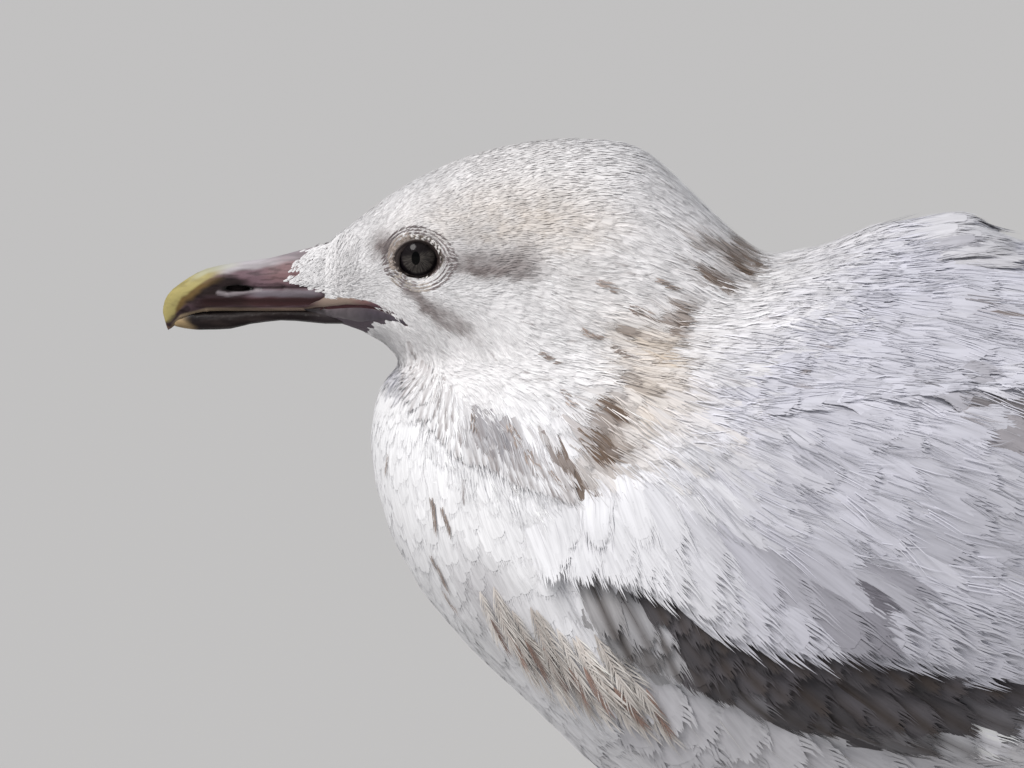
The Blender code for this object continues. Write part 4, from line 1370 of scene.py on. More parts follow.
def neck_row(shift, high):
    """A row of downs over the foot of the neck."""
    tips = [(a, h + shift) for a, h in ((74, 211), (80, 200), (92, 190), (109, 183.5), (124, 180))]
    slopes, lengths = (84, 76, 70, 62, 56), (5, 12, 15, 16)
    return Row(34, tips, slopes, lengths, (2.0, 2.6), 0.3, high, None, neck_looks, fore_downs)


def pale_row(count, tips, slopes, lengths, halves, high):
    return Row(count, tips, slopes, lengths, halves, -0.5, high, PALE_GREY, side_grey, silks)


def worn_row(tips, slopes, lengths, low, high, colour):
    return Row(8, tips, slopes, lengths, (9, 9.5), low, high, colour, worn_brown, silks)


def mottled_row(alongs, heights, first_slope, lengths, high):
    """A row of dusky coverts under the scapulars, coloured by the markings and so by the painted shade there.
    """
    tips = list(zip(alongs + (300, 336), heights))
    slopes = (first_slope, 52, 44, 36, 28, 18, 4)
    return Row(20, tips, slopes, lengths, (5, 6, 7), -0.5, high, None, mottled, fine_silks)


COVERT_ROWS = (
    pale_row(
        9, ((142, 104), (170, 92), (205, 82), (240, 80)), (66, 56, 36, 10), (34, 34, 36, 44), (12, 11), 2.6
    ),
    pale_row(
        10, ((134, 118), (160, 108), (200, 96), (250, 92)), (68, 60, 42, 14), (22, 24, 32, 46), (11, 11), 3.2
    ),
    worn_row(((322, 125), (360, 140), (398, 158)), (6, -4, -10, -12), (62, 66), 0.4, 3.0, (0.50, 0.44, 0.38)),
    worn_row(((308, 128), (335, 136), (372, 152)), (14, 2, -6, -8), (46, 50), 0.6, 3.6, (0.56, 0.50, 0.44)),
    mottled_row(
        (140, 158, 184, 210, 238, 268), (136, 129, 116, 108, 106, 108, 120, 138), 62, (28, 34, 38, 40), 3.2
    ),
    mottled_row(
        (136, 156, 182, 208, 238, 268), (144, 138, 126, 117, 114, 114, 126, 142), 62, (24, 30, 36, 38), 3.4
    ),
    mottled_row(
        (150, 165, 184, 211, 235, 262), (148, 141, 134, 131, 128, 124, 132, 146), 60, (22, 28, 32, 34), 3.6
    ),
)
LONG_ROWS = (
    Row(
        6, ((398, 176), (420, 184), (440, 190), (452, 198)),
        (-4, -2, 2, 4), (92, 98), (9, 10), -2.5, 2.6, BROWN, dark, long_vanes,
    ),
    Row(
        5, ((352, 176), (372, 186), (392, 196), (408, 206)),
        (2, 3, 4, 5), (84, 92), (11, 12), -2.0, 3.4, (0.22, 0.17, 0.14), worn_brown, long_vanes,
    ),
)


def ragged_row(count, tips, slopes, lengths, halves, low, high, colour=CREAM, looks=scruffy):
    return Row(count, tips, slopes, lengths, halves, low, high, colour, looks, ragged_vanes)


RAGGED_ROWS = (
    ragged_row(
        12, ((100, 138), (116, 131), (134, 123), (146, 120)), (72, 62, 58), (18, 26), (3.0, 3.8), 0.6, 3.4
    ),
    ragged_row(10, ((108, 126), (124, 118), (150, 111)), (68, 60, 56), (24, 30), (3.0, 3.6), 0.6, 3.2),
    ragged_row(
        8, ((104, 136), (122, 124), (150, 114)), (66, 60), (12, 16), (1.6, 2.0), 2.4, 3.6,
        (0.26, 0.17, 0.14), Looks(0.3),
    ),
)


def raised_row(count, tips, slopes, lengths, halves, high, colour):
    return Row(count, tips, slopes, lengths, halves, -0.8, high, colour, Looks(0.06), fine_silks)


TUFT_ROWS = (
    raised_row(3, ((243, 256), (249, 252)), (2, 6), (33, 36), (6.0, 7.0), 2.4, (0.50, 0.49, 0.53)),
    raised_row(5, ((243, 251), (256, 247)), (4, 8), (34, 38), (5.5, 6.5), 2.8, (0.62, 0.61, 0.64)),
    raised_row(5, ((240, 247), (256, 241)), (6, 10), (34, 38), (5.5, 6.5), 2.6, (0.60, 0.59, 0.62)),
)
rows_piece("wing_coverts", 6, COVERT_ROWS, body_and_point)
rows_piece("tertials", 8, LONG_ROWS, body_and_point, firm)
hanging_rows = [hanging_row(*place) for place in ((0.0, 6.0), (4.0, 4.6), (9.0, 3.4))]
rows_piece("hanging_scapulars", 7, hanging_rows, body)
neck_rows = [neck_row(*place) for place in ((0.0, 1.5), (3.5, 1.1), (7.0, 0.8))]
rows_piece("hanging_neck_feathers", 19, neck_rows, body)
coat("scapulars", Tract(16, scapular_part, silks, 0.52, soft_grey, 0.0, 0.18, 0.16, 0.25, 0.02, 1.75))
rows_piece("ragged_feathers", 51, RAGGED_ROWS, body)
rows_piece("back_tuft", 52, TUFT_ROWS, body)

# %% [markdown]
# ## Wing points and tail
#
# Behind the tertials only the tips of the flight feathers show, one stepped behind the next. They are long
# closed vanes, dark and worn pale at the edge. Each lies on a slim core that keeps the wing point and the
# tail closed from below, as the stack of hidden feathers does on the bird.

# %% Flight feathers and tail
def shortened(obj, start, keep):
    """Draws in a core's rear end, so that the feathers' tips reach past it."""
    points = points_of(obj)
    edge = BILL_TIP + start * MM
    points[:, 0] = np.where(points[:, 0] > edge, edge + (points[:, 0] - edge) * keep, points[:, 0])
    set_points(obj, points)


primary = Looks(0.06, None, None, 0.35, (0.30, 0.27, 0.24), (0.05, 0.04, 0.035))


def primary_row(count, tips, slopes, lengths, halves, low, high):
    return Row(count, tips, slopes, lengths, halves, low, high, DARK_BROWN, primary, long_vanes)


PRIMARY_ROWS = (
    primary_row(3, ((544, 188), (532, 188.5), (518, 189.5)), (1, 2, 3), (112, 96), (6.5, 8), 0.6, 1.4),
    primary_row(4, ((504, 192), (488, 194), (472, 197), (456, 200)), (4, 5, 6), (80, 60), (8, 9), 1.0, 2.2),
)
WING_POINTS = ("primaries_left", "primaries_right")
rows_piece("primary_feathers", 9, PRIMARY_ROWS, body_and_point, firm, WING_POINTS, "flight")
core_finish = Finish("hidden flight feathers", Roughness=0.7, Specular_IOR_Level=0.25)
core_lines = core_finish.mottle(60.0, 3.0, (0.3, 3.0, 8.0))
core_tone = core_finish.mix(core_lines, (0.035, 0.028, 0.024), (0.085, 0.068, 0.058))
core_material = core_finish.finish(colour=core_tone, height=core_lines, depth=0.3)
shortened(wing_point, 430.0, 0.93)
clothe(wing_point, core_material, "flight", *WING_POINTS)

tail_core = rounded("tail_core", ("tail",), voxel=1.2, smoothing=3)
set_points(tail_core, points_of(tail_core) - normals_of(tail_core) * 0.7 * MM)
shortened(tail_core, 420.0, 0.90)
TAIL_FAN = 6
TAIL_ROOT, TAIL_TIP = (388.0, 182.5), (492.5, 174.6)  # along and height of the middle pair


def tail_feathers(seed):
    rng = np.random.default_rng(seed)
    looks = Looks(0.05, None, None, 0.55, (0.62, 0.58, 0.54), (0.55, 0.50, 0.45))
    dark_band = np.asarray(DARK_BROWN) * 1.3
    batches = []
    for over in (-1.0, 1.0):
        for side in (-1.0, 1.0):
            for number in range(TAIL_FAN):
                out = (number + 0.35) / TAIL_FAN
                root = at(TAIL_ROOT[0], side * out * 13.0, TAIL_ROOT[1] + over * (5.0 - 2.0 * out))
                rise = TAIL_TIP[1] + over * (0.9 + 0.5 * (1 - out))
                tip = at(TAIL_TIP[0] - 6.0 * out**2, side * out * 23.0, rise)
                path = np.linspace(np.array(root), np.array(tip), 8)[None]
                facing = np.tile(unit(np.array([0.12, side * 0.12 * out, 1.0]) * over), (1, 8, 1))
                vane = long_vanes[number % len(long_vanes)]
                laid = lay(vane, path, facing, 8.0, 0.2 + 0.3 * (1 - out), 0.3 + 0.5 * (1 - out), 0.05)
                band = np.clip((vane.s - 0.55) / 0.12, 0, 1)[None, :, None]
                shades = shaded(rng, vane, np.array([(0.66, 0.63, 0.60)]), looks, 1.0)
                shades = shades + (dark_band - shades) * band * 0.85 * (vane.s < 0.965)[None, :, None]
                batches.append((vane, laid, np.array([root]), shades))
    return tract_mesh("tail_feathers", batches)


clothe(tail_feathers(10), firm, "flight", "tail")
clothe(tail_core, core_material, "flight", "tail")

# %% [markdown]
# ## Eyes
#
# A young gull's eye is dark, so its life lies in small things: the slight dome over the iris, an upright
# oval pupil, faint fibres, and a wet gloss. The ball is a sphere with its pole facing out, so that its
# rings run round the iris, and the dome is raised over it.

# %% Eyeballs
IRIS_RADIUS = 5.3
DOME = 0.5


def eye_finish():
    finish = Finish("eye", Roughness=0.5, Specular_IOR_Level=0.0, Coat_Weight=0.2, Coat_Roughness=0.12)
    along, _, height = finish.place()
    out_along, out_up = along - EYE_ALONG, height - EYE_HEIGHT
    reach = (out_along * out_along + out_up * out_up) ** 0.5
    spokes = {0: out_along / reach, 1: out_up / reach, 2: reach * 0.06}
    turned = finish.node("ShaderNodeCombineXYZ", {}, spokes)
    fibres = finish.node("ShaderNodeTexNoise", {}, {"Vector": turned, "Scale": 9.0, "Detail": 3.0})
    oval = ((out_along + 0.7) * (out_along + 0.7) * 2.6 + (out_up + 0.2) * (out_up + 0.2)) ** 0.5
    pupil = oval.ramp(2.15, 1.95)
    iris = finish.mix(fibres.ramp(0.35, 0.7), (0.030, 0.026, 0.025), (0.085, 0.076, 0.068))
    # Painted shade: the top of the iris goes near black, as the upper lid shades it.
    shade = (out_up - out_along * 0.25).ramp(-0.4, 2.0) * 0.92
    iris = finish.mix(shade, iris, (0.008, 0.006, 0.007))
    iris = finish.mix(reach.ramp(4.5, 5.2), iris, (0.010, 0.008, 0.010))
    return finish.finish(colour=finish.mix(pupil, iris, (0.0012, 0.0012, 0.0012)))


def make_eyeball(side, material):
    ball = primitive(
        f"eyeball_{side}", bpy.ops.mesh.primitive_uv_sphere_add,
        segments=72, ring_count=48, radius=EYE_RADIUS, location=EYE[side], rotation=(math.pi / 2, 0, 0),
    )
    points = points_of(ball)
    reach = np.hypot(points[:, 0] - EYE[side].x, points[:, 2] - EYE[side].z) / MM
    outer = (points[:, 1] - EYE[side].y) * SIDES[side] > 0
    dome = DOME * np.clip(1.0 - (reach / IRIS_RADIUS) ** 2, 0.0, 1.0) * outer
    points[:, 1] += SIDES[side] * dome * MM
    set_points(ball, points)
    bpy.ops.object.shade_smooth()
    return clothe(ball, material, "eye", f"eye_{side}")


eye_material = eye_finish()
for side in SIDES:
    make_eyeball(side, eye_material)

# %% [markdown]
# The lids are a bare, wrinkled ring that grips the eyeball. A flat grid is rolled into that ring: one way
# runs round the eye, the other way outwards through a profile of rim, groove and fold, until it dips under
# the feathers.

# %% Lids
LID_PROFILE = (  # how far out from the middle of the eye, and how far above the surface there
    (5.1, -0.7), (5.45, 0.10), (5.75, 0.42), (6.15, 0.40), (6.5, 0.02), (6.9, 0.32), (7.35, 0.30),
    (7.8, -0.05), (8.4, 0.15), (9.2, -0.8),
)
LID_STEPS = 96
LIDS_ALONG, LIDS_HEIGHT = EYE_ALONG - 0.3, EYE_HEIGHT - 0.6
OPENING_WIDE, OPENING_TALL = 1.10, 0.96
DARK_LID = (0.045, 0.032, 0.030)
TAN_LID = (0.36, 0.30, 0.25)


def lid_outline(angle):
    """The opening is wider than high, with a small point towards the bill."""
    return OPENING_WIDE + 0.09 * max(0.0, -math.cos(angle)) ** 6, OPENING_TALL


def surface_out(side, along, height, reach):
    """How far out the lid's base lies: on the eyeball near its middle, and on the head beyond."""
    ball = math.sqrt(max(0.0, (EYE_RADIUS / MM) ** 2 - reach**2)) + abs(measures([EYE[side]])[1][0])
    spots, _ = body.seen_from_side([along], [height], SIDES[side])
    head = abs(spots[0][1]) / MM
    share = min(max((reach - 6.4) / 1.6, 0.0), 1.0)
    return max(ball, head) * (1 - share) + head * share


def make_lids(side, material):
    rows = len(LID_PROFILE)
    lids = primitive(
        f"eyelids_{side}", bpy.ops.mesh.primitive_grid_add,
        x_subdivisions=LID_STEPS, y_subdivisions=rows - 1, size=2.0,
    )
    flat = points_of(lids)
    points, colours = np.empty_like(flat), np.empty_like(flat)
    dark_lid, tan_lid = np.array(DARK_LID), np.array(TAN_LID)
    for i, (x, y, _) in enumerate(flat):
        angle = (x + 1.0) * math.pi
        reach, lift = LID_PROFILE[int(round((y + 1.0) / 2.0 * (rows - 1)))]
        wide, tall = lid_outline(angle)
        along = LIDS_ALONG + math.cos(angle) * reach * wide
        height = LIDS_HEIGHT + math.sin(angle) * reach * tall
        wrinkle = 0.10 * math.sin(angle * 23 + reach * 3) + 0.06 * math.sin(angle * 41 - reach * 5)
        lift += wrinkle * min(1.0, max(0.0, reach - 5.6))
        out = surface_out(side, along, height, math.hypot(along - EYE_ALONG, height - EYE_HEIGHT)) + lift
        points[i] = at(along, SIDES[side] * out, height)
        pale = min(1.0, max(0.0, (reach - 5.9) / 0.9)) * (0.75 + 2.2 * wrinkle)
        front = max(0.0, -math.cos(angle)) * 0.5 + 0.5
        colours[i] = dark_lid + (tan_lid * front - dark_lid) * min(max(pale, 0.0), 1.0)
    set_points(lids, points)
    add_values(lids.data, "Plume", colours)
    merge_doubles(lids, turn_out=True)
    face_out_and_round(lids, side)
    return clothe(lids, material, "leg")


lid_finish = Finish("lids", Roughness=0.45, Specular_IOR_Level=0.4)
lid_relief = lid_finish.mottle(2500.0)
lid_material = lid_finish.finish(colour=lid_finish.attribute("Plume"), height=lid_relief, depth=0.05)
for side in SIDES:
    make_lids(side, lid_material)

# %% [markdown]
# Round the lids stand rows of the smallest feathers of all, hardly longer than a millimetre. White ones
# behind and below make the broken ring that many gulls have, and tan ones in front follow the folds.

# %% Ring of tiny feathers round the eye
BEAD = (0.70, 0.67, 0.65)
TAN_ARC = (0.34, 0.285, 0.255)
FOLD = (0.42, 0.37, 0.33)
DIM = (0.30, 0.27, 0.265)
SMUDGE = (0.185, 0.155, 0.155)
RING_ROWS = (  # how far out, how many, how long and how broad
    (6.5, 26, 1.4, 0.55),
    (7.2, 32, 1.6, 0.50),
    (8.0, 44, 2.0, 0.34),
    (8.8, 50, 2.2, 0.34),
    (9.6, 56, 2.4, 0.34),
)
RING_COLOURS = (  # up to which angle, counted round from the rear: inner rows, outer rows
    (22, DIM, SMUDGE),
    (75, BEAD, DIM),
    (105, BEAD, SMUDGE),
    (215, TAN_ARC, SMUDGE),
    (250, FOLD, FOLD),
    (295, BEAD, FOLD),
    (340, BEAD, SMUDGE),
    (361, DIM, SMUDGE),
)
RING_ENDS = [row[0] for row in RING_COLOURS]


def ring_batches(side, rng):
    batches = []
    for reach, count, length, half in RING_ROWS:
        angles = (np.arange(count) + rng.uniform(-0.3, 0.3, count)) / count * 2 * math.pi
        along = LIDS_ALONG + np.cos(angles) * reach * OPENING_WIDE
        height = LIDS_HEIGHT + np.sin(angles) * reach * OPENING_TALL
        roots, normals = body.seen_from_side(along, height, SIDES[side])
        lengths = length * rng.normal(1.0, 0.12, count)
        paths, facing = walk(body, roots, normals, lengths, None, 3)
        degrees = np.degrees(angles) % 360
        outer = reach > np.where((degrees > 110) & (degrees < 215), 8.4, 7.6)
        stretch = np.searchsorted(RING_ENDS, degrees + rng.normal(0.0, 5.0, count)).clip(0, 7)
        base = np.array([RING_COLOURS[k][2 if far else 1] for k, far in zip(stretch, outer)])
        darker = rng.random(count) < np.where(stretch == 4, 0.45, 0.22)
        base = np.where(darker[:, None], np.array([SMUDGE]) * 1.2, base)
        vane = tufts[int(rng.integers(len(tufts)))]
        laid = lay(vane, paths, facing, half, 0.3, 0.6, 0.5)
        batches.append((vane, laid, roots, shaded(rng, vane, base, Looks(0.12), 0.0)))
    return batches


for side in SIDES:
    ring = tract_mesh(f"eye_ring_{side}", ring_batches(side, np.random.default_rng(31)))
    clothe(ring, fur_like, "plumage")

# %% [markdown]
# ## Bill
#
# The bill is horn over bone: a smooth hooked ridge, a slit nostril in a shallow hollow, a groove that runs
# back from it, and a sharp cutting edge. The solids give its outline. A fine remesh rounds it, and then
# each of those features is pressed or raised in the surface by a soft brush, written as a sum of small bell
# curves.

# %% Fine bill
Press = namedtuple("Press", "start end width depth")
UPPER_PRESSES = [Press(*row) for row in (
    ((27.5, 237.5), (36.0, 237.8), 0.8, -0.50),  # the groove behind the nostril
    ((36.0, 237.8), (47.0, 238.0), 0.8, -0.45),
    ((17.0, 237.8), (27.0, 237.4), 2.2, -0.45),  # the hollow round the nostril
    ((16.5, 235.9), (19.5, 235.5), 0.6, 0.30),  # its lower rim
    ((19.5, 235.5), (28.5, 237.0), 0.6, 0.30),
    ((27.0, 236.0), (47.0, 236.1), 0.9, 0.25),  # the plate under the groove
    ((12.0, 233.0), (50.0, 233.0), 0.9, -0.30),  # the furrow above the cutting edge
    ((5.0, 228.4), (13.0, 230.6), 0.5, 0.28),  # the cutting edge
    ((13.0, 230.6), (50.0, 231.0), 0.5, 0.28),
    ((7.5, 232.0), (2.5, 227.6), 0.9, -0.20),
)]
LOWER_PRESSES = [Press(*row) for row in (
    ((10.0, 228.6), (50.0, 228.9), 0.6, -0.25),
    ((14.0, 226.4), (24.0, 226.4), 1.2, 0.15),
    ((26.0, 227.6), (50.0, 227.6), 0.7, 0.15),
)]
CULMEN = (
    (0.2, 229.8), (0.8, 233.2), (3, 236.5), (7.5, 239.9), (13, 242.7), (22, 244.6), (32, 245.9), (42, 248.5),
    (50, 250.2),
)
SLIT_AT = (22.4, 237.4)


def press(obj, presses):
    points, normals = points_of(obj), normals_of(obj)
    along, _, height = measures(points)
    move = np.zeros(len(points))
    for p in presses:
        move += p.depth * np.exp(-((span_to((p.start, p.end), along, height) / p.width) ** 2))
    sideways = np.clip(np.abs(normals[:, 1]) * 1.6, 0.0, 1.0)
    set_points(obj, points + normals * (move * sideways)[:, None] * MM)


HORN = (0.37, 0.315, 0.125)
HORN_HIGHLIGHT = (0.44, 0.45, 0.37)
RIDGE_HIGHLIGHT = (0.47, 0.44, 0.46)
OCHRE = (0.15, 0.095, 0.035)
HORN_BLACK = (0.009, 0.006, 0.006)
MAUVE = (0.155, 0.098, 0.115)
PINK = (0.22, 0.128, 0.13)
PLATE_TONE_AND_HIGHLIGHT = (0.17, 0.146, 0.165)
RIM = (0.27, 0.235, 0.25)
SLIT_SHADE = (0.006, 0.005, 0.005)
RED_BROWN = (0.058, 0.026, 0.027)
TAN = (0.34, 0.26, 0.165)
LOWER_HORN = (0.034, 0.027, 0.029)
LOWER_TIP = (0.30, 0.215, 0.115)


def band(values, start, end, soft):
    return soft_step(values, start - soft, start + soft) * (1.0 - soft_step(values, end - soft, end + soft))


def upper_colours(points):
    along, _, height = measures(points)
    under = span_to(CULMEN, along, height)
    over = height - np.interp(along, (0, 2, 5, 13, 50), (222.0, 225.4, 228.4, 230.7, 231.0))
    rough = grain(points * np.array([0.3, 1.0, 1.0]), 1.1, 4.0)
    streak = grain(points * np.array([0.12, 1.0, 1.0]), 0.7, 5.0)
    # How strong the painted highlight along the ridge is, from front to back.
    pale = np.interp(along, (8, 14, 29, 36, 50), (0.0, 0.95, 0.95, 0.5, 0.3))
    brim = np.interp(along, (5, 7, 12, 15, 18, 22, 30), (233.0, 235.2, 238.4, 240.0, 241.2, 240.6, 239.0))
    dark = band(along + rough * 1.5, 5.5, 25.0, 3.0) * band(height - brim + rough * 0.5, -20.0, 0.0, 0.9)
    dark *= 0.55 + 0.45 * soft_step(over, 2.5, 5.5)
    stripe = 1.0 - soft_step(span_to(((7.0, 231.0), (1.6, 226.4)), along, height) + rough * 0.3, 0.7, 1.6)
    fore = 1.0 - soft_step(along, 11.0, 20.0)
    width = np.interp(along, (0, 4, 8, 14, 20), (3.0, 3.3, 3.2, 2.4, 1.8))
    ochre = 1.0 - soft_step(under + rough * 0.6, width + 0.9, width + 2.9)
    yellow = 1.0 - soft_step(under + rough * 0.35, width - 0.5, width + 0.5)
    edge = band(along, 3, 60, 2) * (1.0 - soft_step(over + rough * 0.15, 0.3, 1.1))
    rim = 1.0 - soft_step(span_to(((16.5, 236.0), (19.5, 235.5), (29.0, 237.1)), along, height), 0.35, 0.9)
    groove = 1.0 - soft_step(span_to(((27.0, 237.6), (48.0, 238.1)), along, height), 0.15, 0.7)
    slit = ((along - SLIT_AT[0]) / 5.0) ** 2 + ((height - SLIT_AT[1]) / 1.0) ** 2
    return painted(
        MAUVE,
        (PINK, 0.8 * band(along, 31, 43, 4) * band(height, 239.5, 246.0, 1.4)),
        (HORN_BLACK, 0.45 * soft_step(streak, 0.0, 0.35)),
        # Painted highlight: pale along the top of the ridge.
        (RIDGE_HIGHLIGHT, pale * (1.0 - soft_step(under + rough * 0.4, 1.4, 2.8))),
        # The plate under the groove is paler: partly its own tone and partly a painted highlight.
        (PLATE_TONE_AND_HIGHLIGHT, band(along, 26, 47, 3) * band(height + rough * 0.2, 234.9, 237.1, 0.4)),
        (RED_BROWN, band(along, 10, 60, 3) * band(over + rough * 0.3, 1.2, 3.9, 0.5)),
        (HORN_BLACK, np.maximum(dark, stripe * 0.85) * 0.95),
        (OCHRE, fore * ochre * (1.0 - stripe)),
        (HORN, fore * yellow * (1.0 - stripe * 0.6)),
        # Painted highlight on the yellow horn just under the ridge.
        (HORN_HIGHLIGHT, band(along, 9, 22, 3) * (1.0 - soft_step(under, 0.6, 1.5)) * 0.6),
        (TAN, edge * np.interp(along, (3, 12, 20), (0.75, 0.6, 0.5))),
        (RIM, rim * 0.75),
        # Painted shade: the slit of the nostril and the groove behind it are near black.
        (SLIT_SHADE, np.maximum(1.0 - soft_step(slit, 0.8, 1.25), groove * 0.75)),
    )


def lower_colours(points):
    along, _, height = measures(points)
    rough = grain(points * np.array([0.3, 1.0, 1.0]), 1.1, 6.0)
    dark = band(along + rough * 1.5 + (height - 225.0), 8.5, 29.5, 2.5)
    # Black along the top of the lower half: partly its own colour, partly painted shade under the edge of the
    # upper half.
    upper = band(along, 9, 46, 4) * soft_step(height + rough * 0.3, 227.3, 228.6)
    tip = 1.0 - soft_step(along + rough + (height - 225.0), 7.0, 11.0)
    return painted(LOWER_HORN, (HORN_BLACK, np.maximum(dark, upper) * 0.9), (LOWER_TIP, tip))


bill_finish = Finish("horn of the bill", Specular_IOR_Level=0.09)
bill_grain = bill_finish.mottle(420.0, 4.0, (0.18, 1.0, 1.0))
bill_flecks = bill_finish.mottle(1500.0, 2.0)
bill_tone = bill_finish.attribute("Plume")
bill_tone = bill_finish.mix(bill_grain.ramp(0.45, 0.7) * 0.3, bill_tone, (0.055, 0.040, 0.036))
bill_material = bill_finish.finish(
    colour=bill_tone, roughness=bill_flecks * 0.2 + 0.30, height=bill_grain + bill_flecks * 0.3, depth=0.12
)
BILL_REAR = 48.5


def make_bill(half, presses, paint):
    """One half of the bill. Its rear lies under the feathers, and the lower half rises to meet the upper."""
    horn = rounded(f"{half}_bill_horn", (f"bill_{half}",), voxel=0.42, smoothing=5, swell=0.12)
    press(horn, presses)
    points = points_of(horn)
    along, _, height = measures(points)
    points[:, 0] += np.where(along > BILL_REAR, 7.0, 0.0) * MM
    if half == "upper":
        points[:, 0] -= 0.4 * (1.0 - soft_step(along, 0.0, 6.0)) * MM
    else:
        rise = soft_step(height, 226.6, 229.0) * soft_step(along, 4.6, 8.0)
        points[:, 2] += (1.3 * rise + 0.7 * (1.0 - soft_step(along, 5.0, 11.0))) * MM
        points[:, 0] -= 2.0 * (1.0 - soft_step(along, 4.5, 12.0)) * MM
        points[:, 1] *= 1.0 - 0.12 * rise
    set_points(horn, points)
    add_values(horn.data, "Plume", paint(points_of(horn)))
    print(horn.name, len(horn.data.polygons), "faces")
    return clothe(horn, bill_material, "bill", f"bill_{half}")


upper_horn = make_bill("upper", UPPER_PRESSES, upper_colours)
lower_horn = make_bill("lower", LOWER_PRESSES, lower_colours)

# %% [markdown]
# The slit of the nostrils goes right through the upper half, so a wall stands in the middle behind it,
# painted near black for the shade inside the nostrils.

# %% Wall between the nostrils
WALL_HALVES = (6.2, 3.6, 2.6)
septum = primitive(
    "nostril_wall", bpy.ops.mesh.primitive_uv_sphere_add,
    segments=32, ring_count=16, radius=1.0, location=at(SLIT_AT[0], 0.0, SLIT_AT[1]),
    scale=[half * MM for half in WALL_HALVES],
)
bpy.ops.object.shade_smooth()
septum_finish = Finish("inside of the nostrils", Roughness=0.8, Specular_IOR_Level=0.1)
# Painted shade: the wall is near black, as the inside of the nostrils is in shade.
nostril_shade_tone = septum_finish.mix(septum_finish.mottle(900.0), (0.006, 0.004, 0.004), (0.016, 0.010, 0.010))
clothe(septum, septum_finish.finish(colour=nostril_shade_tone), "bill")

# %% [markdown]
# Feathers run forward on the side of the bill in a wedge that ends near the nostril.

# %% Feathers at the base of the bill
WEDGE = (
    (47.5, 252), (44, 248.5), (40.3, 245.5), (38.6, 241.6), (36.6, 239.4), (44.3, 237.4), (52, 236.4),
    (58, 240), (58, 253),
)
bill_ground = Ground(skin, upper_horn)


def inside(outline, along, height):
    """Whether each point of the side view lies within an outline."""
    within = np.zeros(len(along), bool)
    for (a0, h0), (a1, h1) in zip(outline, outline[1:] + outline[:1]):
        if h0 != h1:
            crossing = a0 + (height - h0) * (a1 - a0) / (h1 - h0)
            within ^= ((height < h0) != (height < h1)) & (along < crossing)
    return within


def wedge_batches(rng, spacing=0.56):
    batches = []
    for side in SIDES.values():
        grid = np.meshgrid(np.arange(34.0, 58.0, spacing), np.arange(235.0, 253.0, spacing))
        along, height = (axis.ravel() + rng.uniform(-0.3, 0.3, axis.size) for axis in grid)
        # The wedge's edge dissolves into single feathers.
        tried = along + rng.normal(0.0, 0.8, len(along)), height + rng.normal(0.0, 0.6, len(along))
        within = inside(WEDGE, *tried)
        along, height = along[within], height[within]
        roots, normals = bill_ground.seen_from_side(along, height, side)
        slopes = np.interp(height, (236.0, 242.0, 252.0), (-8.0, -34.0, -32.0))
        slopes = slopes + rng.normal(0.0, 10.0, len(along))
        lengths = rng.uniform(2.0, 3.4, len(along))
        paths, facing = walk(bill_ground, roots, normals, lengths, slopes, 3)
        pick = rng.integers(0, len(tufts), len(along))
        for number, vane in enumerate(tufts):
            mine = pick == number
            lifted = 0.9 * soft_step(measures(roots[mine])[0], 42.5, 48.5)
            highs = rng.uniform(0.25, 0.45, int(mine.sum())) + lifted
            laid = lay(vane, paths[mine], facing[mine], 0.36, 0.1, highs, 0.25)
            shades = shaded(rng, vane, plumage(roots[mine]), Looks(0.05), 0.0)
            batches.append((vane, laid, roots[mine], shades))
    return batches


clothe(tract_mesh("bill_base_feathers", wedge_batches(np.random.default_rng(37))), fur_like, "plumage")

# %% [markdown]
# The corner of the mouth is bare skin: two thin fleshy lips that run back from the bill and close at a
# point under the eye. A grid is draped on the head along the mouth's line, with a furrow down its middle.

# %% Fleshy corner of the mouth
LIP_PROFILE = (  # how far from the mouth's line, as a share of the lip's breadth, and how far out
    (-1.0, -0.5), (-0.85, 0.30), (-0.55, 0.45), (-0.3, 0.40), (-0.12, 0.2), (-0.05, -0.3), (0.04, -0.3),
    (0.2, 0.45), (0.45, 0.6), (0.8, 0.40), (1.0, -0.6),
)
UPPER_LIP = ((42, 46, 50, 55, 60, 66, 71, 75), (0.5, 2.6, 4.2, 3.4, 2.4, 1.6, 1.0, 0.3))
LOWER_LIP = ((42, 46, 50, 56, 60, 64, 69, 75), (0.5, 1.9, 3.2, 5.4, 5.8, 4.2, 2.4, 0.3))
LIP_STEPS = 60
LIP_TAN, LIP_ROSE, LIP_PLUM = (0.25, 0.185, 0.150), (0.17, 0.090, 0.085), (0.075, 0.032, 0.045)
LIP_GREY, LIP_SLATE = (0.125, 0.105, 0.115), (0.070, 0.056, 0.072)
LIP_FURROW = (0.040, 0.015, 0.018)
mouth_ground = Ground(skin, upper_horn, lower_horn)


def evened(values):
    """Each value as the mean of the nine round it."""
    return np.convolve(np.pad(values, 4, mode="edge"), np.ones(9) / 9, "valid")


